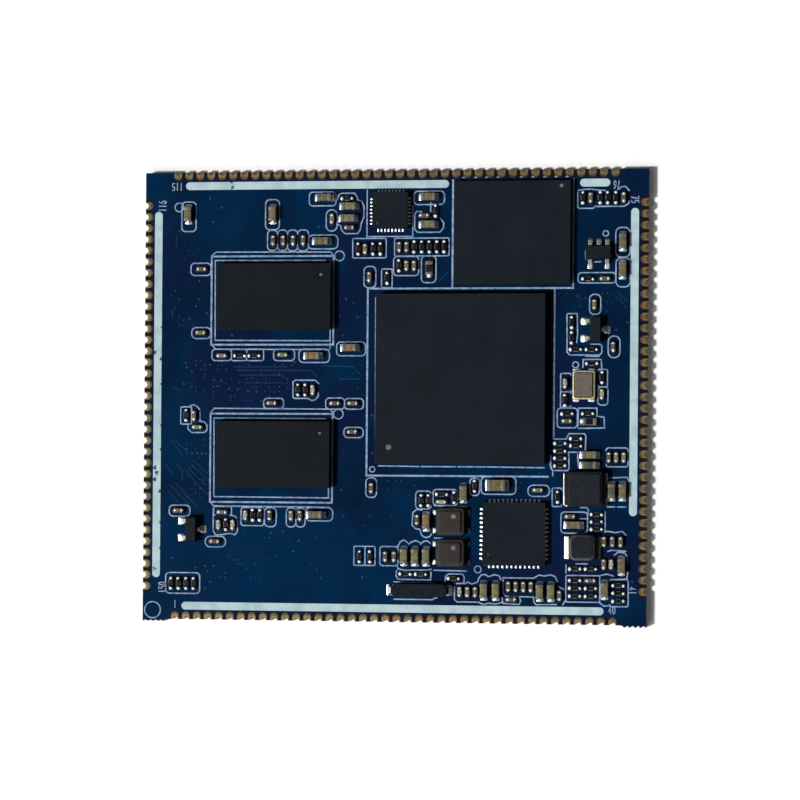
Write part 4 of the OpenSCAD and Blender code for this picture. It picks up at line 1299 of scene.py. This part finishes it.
# boxes: left, right, front, back, corner radius and the side left open (right, top, left or bottom),
# in millimetres
outlineBoxes = [
    (-24.3, -22.65, 18.65, 22, 0.45), (-23.2, -20.9, 13.65, 15.05, 0.45),
    (-14.65, -13.05, 18.8, 22.2, 0.5), (-14.4, -13.25, 16.45, 18.75, 0.45),
    (-13.25, -12.1, 16.45, 18.75, 0.45), (-12.1, -10.95, 16.4, 18.75, 0.45),
    (-10.95, -9.7, 16.4, 18.75, 0.45), (-9.75, -6.35, 16.6, 18.15, 0.5), (-9.65, -6.6, 21.45, 23, 0.4),
    (-7.7, -6.45, 18.6, 21, 0.6), (-4.65, -0.85, 15.55, 17.75, 0.15), (-3.35, -2, 12.2, 14.6, 0.5),
    (-1.35, -0.15, 12.2, 14.3, 0.15), (2.25, 5.7, 21.5, 23, 0.45), (0.1, 6.25, 15.75, 17.75, 0.15),
    (0, 2.85, 13.55, 15.7, 0.4), (3.15, 4.8, 12.75, 15.75, 0.45), (24.85, 26.45, 15.5, 18.8, 0.6),
    (24.9, 26.5, 12.2, 15.45, 0.6), (20.7, 24.9, 12.65, 13.8, 0.4), (-23.05, -20.85, 6.5, 7.75, 0.5),
    (-20.7, -18.45, 4, 5.3, 0.4), (-18.45, -16.7, 4, 5.3, 0.15), (-16.7, -14.75, 4, 5.3, 0.2),
    (-13.6, -11.2, 4, 5.3, 0.4), (-10.7, -7.2, 3.8, 5.3, 0.5), (-6.4, -3.1, 4.55, 6.1, 0.45),
    (22, 23.25, 9.15, 11.4, 0.55), (24.1, 25.4, 4.35, 6.75, 0.6), (18.85, 20, 0.55, 2.6, 0.15, "R"),
    (18.85, 20, -1.15, 0.55, 0.15, "R"), (23, 24.05, 1.1, 3.05, 0.15, "L"),
    (23, 24.1, -0.9, 1.1, 0.35), (-24.25, -23, -3.2, -1.25, 0.15), (-25.5, -23.1, -13.65, -12.4, 0.45),
    (-20.35, -18.3, -13.5, -12.5, 0.15, "B"), (-17.2, -14.55, -14.65, -12.6, 0.3),
    (-14.5, -13.15, -14.75, -12.6, 0.5), (-12, -10.9, -14.75, -12.6, 0.45),
    (-10.9, -9.85, -14.75, -12.6, 0.45), (-9.8, -6.7, -14.05, -12.55, 0.5),
    (-21.3, -18.95, -17.1, -15.9, 0.55), (-14.7, -12.4, -1.4, -0.25, 0.4),
    (-7.6, -5.45, -1.45, -0.2, 0.4), (-5.45, -3.3, -1.45, -0.25, 0.4), (-5.5, -3.3, -4.65, -3.5, 0.45),
    (-2.95, -1.75, -11.35, -9.15, 0.45), (2.7, 4.45, -12.6, -10.6, 0.4),
    (4.65, 7.4, -12.2, -10.4, 0.4), (8.8, 9.85, -11.05, -9.1, 0.4), (10.05, 13.95, -10.9, -8.95, 0.5),
    (18.5, 20.75, -3.45, -1.25, 0.4), (15.3, 17.7, -11.1, -9.85, 0.55),
    (18, 19.05, -12.2, -10.15, 0.15, "R"), (23.95, 26.4, -7.75, -5.65, 0.3, "L"),
    (19, 21.95, -15.15, -12.8, 0.4), (-25.85, -21.9, -22.4, -20.05, 0.45),
    (-4.25, -3, -19, -16.85, 0.15), (-3, -1.85, -19, -16.85, 0.15), (-1.3, 0.75, -19, -16.85, 0.3),
    (19.6, 23.35, -22.8, -19.85, 0.15), (24.45, 26.5, -23.25, -20.25, 0.2, "L"),
]
# open paths of points; a row of short dashes runs along the back edge
dashStarts = (7.75, 9.05, 10.3, 11.6, 14.2, 15.5, 16.8, 18.05, 19.3)
outlinePaths = [
    [(-6.45, 22.15), (-6.3, 22.65), (-6, 22.85), (-4.5, 22.85), (-4.2, 22.45), (-4.1, 22.05), (-3.7, 21.95),
     (-3.4, 21.35), (-3.4, 20.15), (-3.7, 19.45), (-3.8, 18.75), (-4.1, 18.3), (-5.55, 18.3), (-5.95, 18.7),
     (-6.05, 19.2), (-6.45, 19.35)], [(4.15, 21.7), (4.15, 20.65)],
    [(3.15, 20.7), (2.6, 20.75), (2.35, 20.45), (2.35, 18.75), (2.7, 18.4), (5.2, 18.4), (5.6, 18.85),
     (5.65, 19.45), (5.25, 19.9)],
    [(20.6, 22.75), (20.6, 21.05), (20.8, 20.95), (22.35, 20.95), (22.5, 21.15), (25.75, 21.15),
     (26.25, 21.45), (26.3, 21.7)], [(20.65, 22.95), (21.75, 23.1), (23.65, 22.9)],
    [(25.05, 23), (25.4, 23.3), (25.9, 23.35), (26.3, 22.9)], [(21.55, 15.3), (21.5, 16.2)],
    [(22.45, 15), (23.25, 15)], [(-7.15, 5.35), (-7.15, 5.95)],
    [(-8.4, 1.4), (-8.8, 1.8), (-11.1, 1.8), (-11.35, 1.6), (-11.35, -0.1), (-11.15, -0.25), (-9.6, -0.25),
     (-9.2, -0.5), (-8.8, -0.4), (-8.45, 0), (-8.45, 0.4)], [(22.2, 8.9), (23.1, 8.9)],
    [(20.6, 9.25), (19.6, 9.25), (19.5, 9.15), (19.55, 4.95), (19.85, 4.65), (23.15, 4.65), (23.4, 4.9),
     (23.4, 5.7), (23.15, 5.85), (22.15, 5.85)], [(20.65, 9.1), (20.7, 6.95), (20.6, 6.05)],
    [(21.3, 3.25), (21.35, 4.15), (23.35, 4.15), (23.4, 3.15)],
    [(-23.2, -1.15), (-22.7, -1), (-22.3, -1.25), (-22.05, -1.6)], [(-22.05, -1.85), (-22, -2.85)],
    [(-23.4, -3.15), (-23.4, -3.75), (-23, -4.15), (-21.5, -4.15), (-21.2, -3.85), (-21.2, -3.35),
     (-21.5, -2.95), (-22.1, -2.85)],
    [(-20.4, -12.7), (-20.4, -15.25), (-20.1, -15.75), (-19.4, -15.7), (-18.5, -15.55), (-17.9, -15.7),
     (-17.6, -15.35), (-17.6, -14.15), (-17.8, -13.65), (-18.3, -13.5)],
    [(20.8, -3.25), (20.85, -1.25), (22.9, -1.25), (22.9, -2.15), (23.7, -2.25), (23.75, -3.45),
     (20.85, -3.5)],
    [(18, -4.7), (19.55, -4.7), (19.65, -4.35), (19.85, -4.1), (21.55, -4.1), (21.7, -4.35), (21.65, -5.95)],
    [(20.8, -6.15), (19.8, -6.15), (19.85, -7.95), (19.7, -8.2), (18, -8.2), (17.8, -7.85), (17.8, -6.55)],
    [(20.8, -6.35), (20.9, -7.85)], [(24.1, -9), (26.3, -8.9), (26.55, -9.4)],
    [(24.15, -12.2), (24.95, -12.2)], [(25.25, -12.2), (26.15, -12.2)],
    [(21.15, -12.3), (21.85, -12.3), (22.05, -12.6), (21.95, -13.1), (21.95, -13.55), (21.15, -13.55)],
    [(0.75, -17.05), (0.75, -16.75), (1, -16.3), (1.4, -16.1), (1.8, -16.35), (1.95, -16.55), (2.2, -16.35),
     (2.7, -16.15), (3.2, -16.35), (3.3, -16.55), (3.6, -16.25), (4, -16.15), (4.4, -16.45)],
    [(0.7, -19.05), (0.8, -19.35), (1.6, -19.5), (2.7, -19.45), (4, -19.45), (4.5, -19.35)],
    [(0.6, -19.55), (0.55, -20.15), (0.8, -20.5), (4.45, -20.55), (4.5, -19.65)],
    [(0.3, -20.8), (4.75, -20.85), (5.05, -21)], [(6.45, -21.1), (7, -21.6)],
    [(0.3, -22.75), (4.65, -22.75), (4.85, -22.6), (5.15, -22.55)],
    [(6.1, -20.7), (6.15, -20.1), (6.45, -19.85), (8.05, -19.85), (8.25, -20.2), (8.2, -20.8)],
    [(7.15, -21.3), (7.15, -22.7), (7.45, -22.95), (9.9, -22.95)],
    [(7.35, -20.9), (8.35, -20.9), (8.65, -20.7), (9.05, -20.95), (9.65, -20.75)],
    [(9.75, -20.7), (9.85, -20.3), (10.15, -19.9), (10.55, -19.85), (10.95, -20.1), (11.25, -20),
     (11.65, -19.85), (12.15, -20), (12.35, -20.4)],
    [(9.9, -23), (10.4, -23.2), (11, -23.05), (11.8, -23.15), (12.4, -22.95)],
    [(4.85, -15.85), (8.45, -15.85)], [(4.8, -19.45), (8.45, -19.5)],
    [(4.8, -12.2), (6.5, -12.3), (8.5, -12.3)],
    [(3.4, -12.75), (2.85, -12.65), (2.4, -13), (2.3, -14.4), (2.7, -14.8), (3.2, -14.9), (3.4, -15.55),
     (3.8, -15.8), (4.3, -15.7), (4.55, -15.35)], [(10.15, -18.15), (10.55, -18.8)],
    [(12.55, -20.2), (16, -20.2), (16.6, -19.85), (17.2, -19.95), (17.9, -19.8), (18.4, -20),
     (18.65, -20.55)],
    [(12.6, -20.4), (12.6, -21.9), (12.9, -22.25), (16, -22.3), (16.05, -22.85), (16.3, -23.15),
     (18.55, -23.1)], [(12.5, -22.45), (12.6, -23.05), (14.4, -23.15), (14.6, -22.75), (14.4, -22.35)],
    [(18.7, -21.05), (19.4, -21.45), (19.55, -21.75)], [(19.55, -22.65), (19.25, -23.15)],
    [(19.6, -18.7), (19.6, -19.6)], [(20.7, -18.55), (21.95, -18.55)],
    [(23.9, -12.8), (23.9, -15), (24.15, -14.9), (25.05, -15.05), (25.8, -14.9), (26.2, -15.3)],
    [(24.2, -17.15), (24.6, -17), (26.2, -17.1)],
    [(24.9, -17.55), (25.4, -17.2), (26.1, -17.3), (26.4, -17.75), (26.4, -18.55)],
    [(26.45, -19.45), (26.35, -20.15), (25.25, -20.25)], [(23.3, -19.85), (24.1, -19.65), (24.85, -19.85)],
    [(23.35, -22.85), (23.85, -23.2), (24.45, -23.15)], [(23.4, -20.85), (23.4, -22.65)],
    [(-20.3, 16.3), (-7.15, 16.25), (-6.9, 15.9)], [(-20.3, 16.3), (-20.75, 15.95)],
    [(-20.4, 15.35), (-7.75, 15.3)], [(-20.4, 15.35), (-20.35, 6.3), (-7.15, 6.25), (-7.2, 15.2)],
    [(-20.8, 5.9), (-20.3, 5.3), (-7.3, 5.25)], [(-20.4, -1.4), (-7.1, -1.45), (-6.75, -1.9)],
    [(-20.4, -1.4), (-20.75, -1.85)], [(-20.4, -2.5), (-7.6, -2.55)],
    [(-20.4, -2.5), (-20.35, -11.4), (-7.2, -11.45), (-7.25, -3.1)],
    [(-20.8, -12), (-20.35, -12.45), (-7.15, -12.5)], [(-2, 11.05), (-1.9, -7.45)],
    [(17.75, -7.55), (18.05, -8.25), (18.05, -8.8)], [(-3.05, 23.2), (-3.05, 17.95), (2.15, 17.95)],
    [(2.15, 17.95), (2.15, 21.4)], [(-1.55, -7.8), (3.05, -7.85)], [(3.3, -7.85), (7.15, -7.85)],
    [(7.45, -7.85), (9.15, -7.85)], [(9.35, -7.85), (10.55, -7.85)], [(10.75, -7.85), (17.1, -7.9)],
    *([(x, 24.5), (round(x + 0.2, 2), 24.5)] for x in dashStarts),
    [(21.6, 4.5), (23.1, 4.5)],
]
# rings: centre and radius
outlineRings = [
    (-24.6, 21.4, 0.5), (23.75, 18.15, 0.3), (20.5, 3.55, 0.33), (9.75, -19.3, 0.38),
    (-6.15, 15.8, 0.55), (-6.15, -2, 0.55), (-2.25, -8.2, 0.3), (-27.35, -24.3, 0.92),
]


def addOutlines(settings):
    bm = bmesh.new()
    top = boardTop + settings["lift"]
    level = 0
    for row in outlineBoxes:
        height, closed = top + level * settings["levelStep"], len(row) == 5
        addRibbon(bm, inMetres(boxPath(*row)), settings["lineWidth"], height, closed)
        level = (level + 1) % settings["levels"]
    for row in outlinePaths:
        height = top - settings["pathDrop"] - level * settings["levelStep"]
        addRibbon(bm, inMetres(row), settings["lineWidth"], height)
        level = (level + 1) % settings["levels"]
    for ring in outlineRings:
        path = [Vector((x * mm, y * mm)) for x, y, _ in circleLoop(*ring, 0, 28)]
        addRibbon(bm, path, settings["ringWidth"], top + settings["ringRise"], True)
    finishPiece("printedOutlines", bm, [lineInk], smoothAngle=40)


addOutlines(printSet)


# pad numbers at the corners, drawn with single strokes as on a board
numberSet = {
    "height": 0.8 * mm,
    "step": 0.44 * mm,
    "slim": 0.62,
    "stroke": 0.125 * mm,
    "lift": 0.02 * mm,
    "places": [
        ("1", -24.75, -23.6, 0), ("40", 24.7, -23.65, 0), ("41", 26.95, -21.45, -90),
        ("75", 26.95, 21.9, -90), ("76", 24.95, 23.55, 180), ("115", -24.85, 23.75, 180),
        ("116", -26.55, 21.55, 90), ("150", -26.25, -21.75, 90),
    ],
}
strokes = {
    "0": [[(0, 0.25), (0, 0.75), (0.12, 0.95), (0.25, 1), (0.38, 0.95), (0.5, 0.75), (0.5, 0.25),
           (0.38, 0.05), (0.25, 0), (0.12, 0.05), (0, 0.25)]],
    "1": [[(0.25, 0), (0.25, 1)]],
    "4": [[(0.4, 0), (0.4, 1), (0, 0.35), (0.52, 0.35)]],
    "5": [[(0.48, 1), (0.05, 1), (0.03, 0.55), (0.3, 0.6), (0.5, 0.45), (0.5, 0.18), (0.3, 0), (0.02, 0.06)]],
    "6": [[(0.42, 1), (0.14, 0.8), (0, 0.45), (0, 0.2), (0.14, 0), (0.38, 0), (0.5, 0.2), (0.5, 0.38),
           (0.36, 0.55), (0.14, 0.55), (0, 0.38)]],
    "7": [[(0, 1), (0.5, 1), (0.2, 0)]],
}


def addNumbers(settings):
    bm = bmesh.new()
    for text, x, y, turn in settings["places"]:
        spin = Matrix.Rotation(math.radians(turn), 2)
        width = settings["step"] * (len(text) - 1) + 0.5 * settings["height"] * settings["slim"]
        for index, digit in enumerate(text):
            for stroke in strokes[digit]:
                path = []
                for u, v in stroke:
                    across = u * settings["height"] * settings["slim"] + index * settings["step"] - width / 2
                    local = Vector((across, (v - 0.5) * settings["height"]))
                    path.append(spin @ local + Vector((x * mm, y * mm)))
                addRibbon(bm, path, settings["stroke"], boardTop + settings["lift"])
    finishPiece("padNumbers", bm, [lineInk], smoothAngle=40)


addNumbers(numberSet)


# via caps and the nearest traces show through the mask as low ridges
viaPlaces = [
    (-5.35, 10.95), (-4.05, 8.9), (-5.7, 6.85), (-11.2, 3.85), (-21.05, 22.4), (-19.7, 21.35),
    (-24.5, 18.75), (-22.2, 13.05), (-22.6, 10.2), (-22.2, 11), (-18.4, 6.9), (-23.7, 3.75),
    (-23.6, 3.25), (-23, 2.75), (-21.5, 3.45), (-20.9, 3.55), (-24, 1.35), (-20.4, 1.85),
    (-19.6, 1.75), (-20, 1.15), (-18.7, 0.8), (-17.7, 0.75), (-16.5, 0.6), (-15.5, 0.5),
    (-13.7, -15.45), (-12.35, -15.25), (-10.55, -16.3), (-21.3, -19.25), (-20.3, -19.2), (-21, -19.85),
    (-21.3, -21.8), (-20.7, -21.05), (-2.25, -6.35), (-22.9, -6.5), (-22.3, -6.45), (-21.75, -6.55),
    (-21.3, -6.55), (-11.15, -17.5), (-25.1, -18.35), (-22.4, -19.45), (-5.75, -10.55), (-2.35, -2.15),
    (-8.55, 19.1), (-20.7, 19.75), (-21.3, 9.4), (-23.3, 8.8), (20.7, 11.25), (25, 7.45), (26.2, 8.25),
    (26.95, -20.45), (-3.3, -20.35), (-1.8, 19.65), (-1.4, 19.55),
]
tracePaths = [
    [(-25, 1.05), (-24.4, 0.55)], [(-24.9, -4.95), (-24.3, -5.65), (-23.6, -6.15), (-23.5, -6.65)],
    [(-25.2, -5.15), (-24.6, -5.95), (-24.1, -6.65)], [(-26, -7.85), (-25.2, -8.75)],
    [(-22.6, -7.4), (-21.1, -8.8)], [(-22.9, -7.8), (-21, -9.6)], [(-23.3, -8.2), (-21.2, -10.2)],
    [(-23.6, -8.5), (-21.1, -11.2)], [(-25.5, -10), (-23.2, -12.3)], [(-24.8, -9.9), (-22.3, -12.5)],
    [(-25.7, -10.8), (-24.4, -12.1)], [(25.05, 11.7), (26.15, 10.6)], [(24.85, 11.2), (25.8, 10.3)],
    [(-17.8, 2.9), (-9.3, 2.9), (-8.6, 2.2)], [(-17.5, 2.35), (-12.6, 2.35), (-11.9, 1.7)],
    [(-18.2, 3.3), (-12, 3.3)], [(-16.9, 1.5), (-12.4, 1.5)],
    [(-24.7, -7.75), (-24, -8.5), (-24, -9.5)], [(-8.1, 3.4), (-4.6, 3.35), (-3.6, 2.45)],
    [(-6.1, 1.95), (-3.8, 1.95)], [(-22.4, -3.05), (-22.4, -2.85)], [(5.2, 13), (6.1, 13.9)],
    [(-24.9, 16.95), (-24.9, 18.25)], [(-25.3, 8.85), (-25.3, 9.65), (-25, 10)],
]
reliefSet = {
    "viaRadius": 0.13 * mm,
    "viaRise": 0.014 * mm,
    "viaDome": ((1.0, 0.0), (0.85, 0.8), (0.6, 1.0), (0.35, 0.75), (0.12, 0.35)),
    "traceWidth": 0.16 * mm,
    "traceRise": 0.01 * mm,
    "keepOff": 0.35 * mm,
    "apart": 0.4,
    "scatter": 0.06,
    "fieldRadius": (0.07, 0.1),
    # fields of smaller vias under the mask: x and y ranges, how many, seed
    "fields": [(-23.5, -11.5, -0.6, 4.1, 90, 3), (-23.5, -21.2, -11.5, -5.0, 26, 5),
               (-25.5, -22.0, 5.5, 18.0, 16, 8), (-20.5, -7.5, -21.0, -15.5, 26, 11),
               (-6.0, -3.0, -6.5, 12.5, 18, 12), (12.0, 17.0, -9.5, -8.2, 4, 4),
               (19.5, 26.0, 9.0, 12.0, 14, 6), (-5.5, 3.5, -14.5, -9.0, 14, 2)],
}


def addRelief(settings):
    bm = bmesh.new()
    spots = [(x, y, settings["viaRadius"]) for x, y in viaPlaces]
    off, scatter = settings["keepOff"], settings["scatter"]
    parts = ("small_capacitors", "resistors", "small_capacitor_ends", "resistor_ends", "mid_capacitors",
             "mid_capacitor_ends", "leaded_part_solder")
    solids = [box for name in parts for box in islandBoxes(name)]
    for x0, x1, y0, y1, count, seed in settings["fields"]:
        chooser = random.Random(seed)
        for _ in range(count):
            # on a half-millimetre grid, clear of the parts
            x = round(chooser.uniform(x0, x1) * 2) / 2 + chooser.uniform(-scatter, scatter)
            y = round(chooser.uniform(y0, y1) * 2) / 2 + chooser.uniform(-scatter, scatter)
            covered = any(low.x - off < x * mm < high.x + off and low.y - off < y * mm < high.y + off
                          for low, high in solids)
            near = any(math.hypot(x - a, y - b) < settings["apart"] for a, b, _ in spots)
            if not covered and not near:
                spots.append((x, y, chooser.uniform(*settings["fieldRadius"]) * mm))
    for x, y, radius in spots:
        addLoops(bm, [
            circleLoop(x * mm, y * mm, radius * share, boardTop + rise * settings["viaRise"], 16)
            for share, rise in settings["viaDome"]
        ])
    finishPiece("viaCaps", bm, [maskOverVia], smoothAngle=60)
    bm = bmesh.new()
    for row in tracePaths:
        addRibbon(bm, inMetres(row), settings["traceWidth"], boardTop + settings["traceRise"])
    finishPiece("raisedTraces", bm, [maskOverCopper], smoothAngle=40)


addRelief(reliefSet)
print("print and relief made")


# plain pale floor that keeps the shadow and shows white to the camera
floorSet = {"size": 40.0, "colour": (0.96, 0.955, 0.95, 1), "glow": 0.04}


def addFloor(settings):
    bm = bmesh.new()
    half = settings["size"] / 2
    bm.faces.new([bm.verts.new((x * half, y * half, 0)) for x, y in ((-1, -1), (1, -1), (1, 1), (-1, 1))])
    mesh = bpy.data.meshes.new("floor")
    bm.to_mesh(mesh)
    bm.free()
    floor = bpy.data.objects.new("floor", mesh)
    bpy.context.scene.collection.objects.link(floor)
    material = bpy.data.materials.new("paleFloor")
    material.use_nodes = True
    nodes, links = material.node_tree.nodes, material.node_tree.links
    nodes.remove(nodes["Principled BSDF"])
    matt = nodes.new("ShaderNodeBsdfDiffuse")
    matt.inputs["Color"].default_value = settings["colour"]
    glow = nodes.new("ShaderNodeEmission")
    path = nodes.new("ShaderNodeLightPath")
    seen = calculate(material, "MAXIMUM", path.outputs["Is Camera Ray"], path.outputs["Is Glossy Ray"])
    seen = calculate(material, "MAXIMUM", seen, path.outputs["Is Transmission Ray"])
    links.new(calculate(material, "MULTIPLY", seen, settings["glow"]), glow.inputs["Strength"])
    both = nodes.new("ShaderNodeAddShader")
    links.new(matt.outputs[0], both.inputs[0])
    links.new(glow.outputs[0], both.inputs[1])
    links.new(both.outputs[0], nodes["Material Output"].inputs["Surface"])
    mesh.materials.append(material)


addFloor(floorSet)
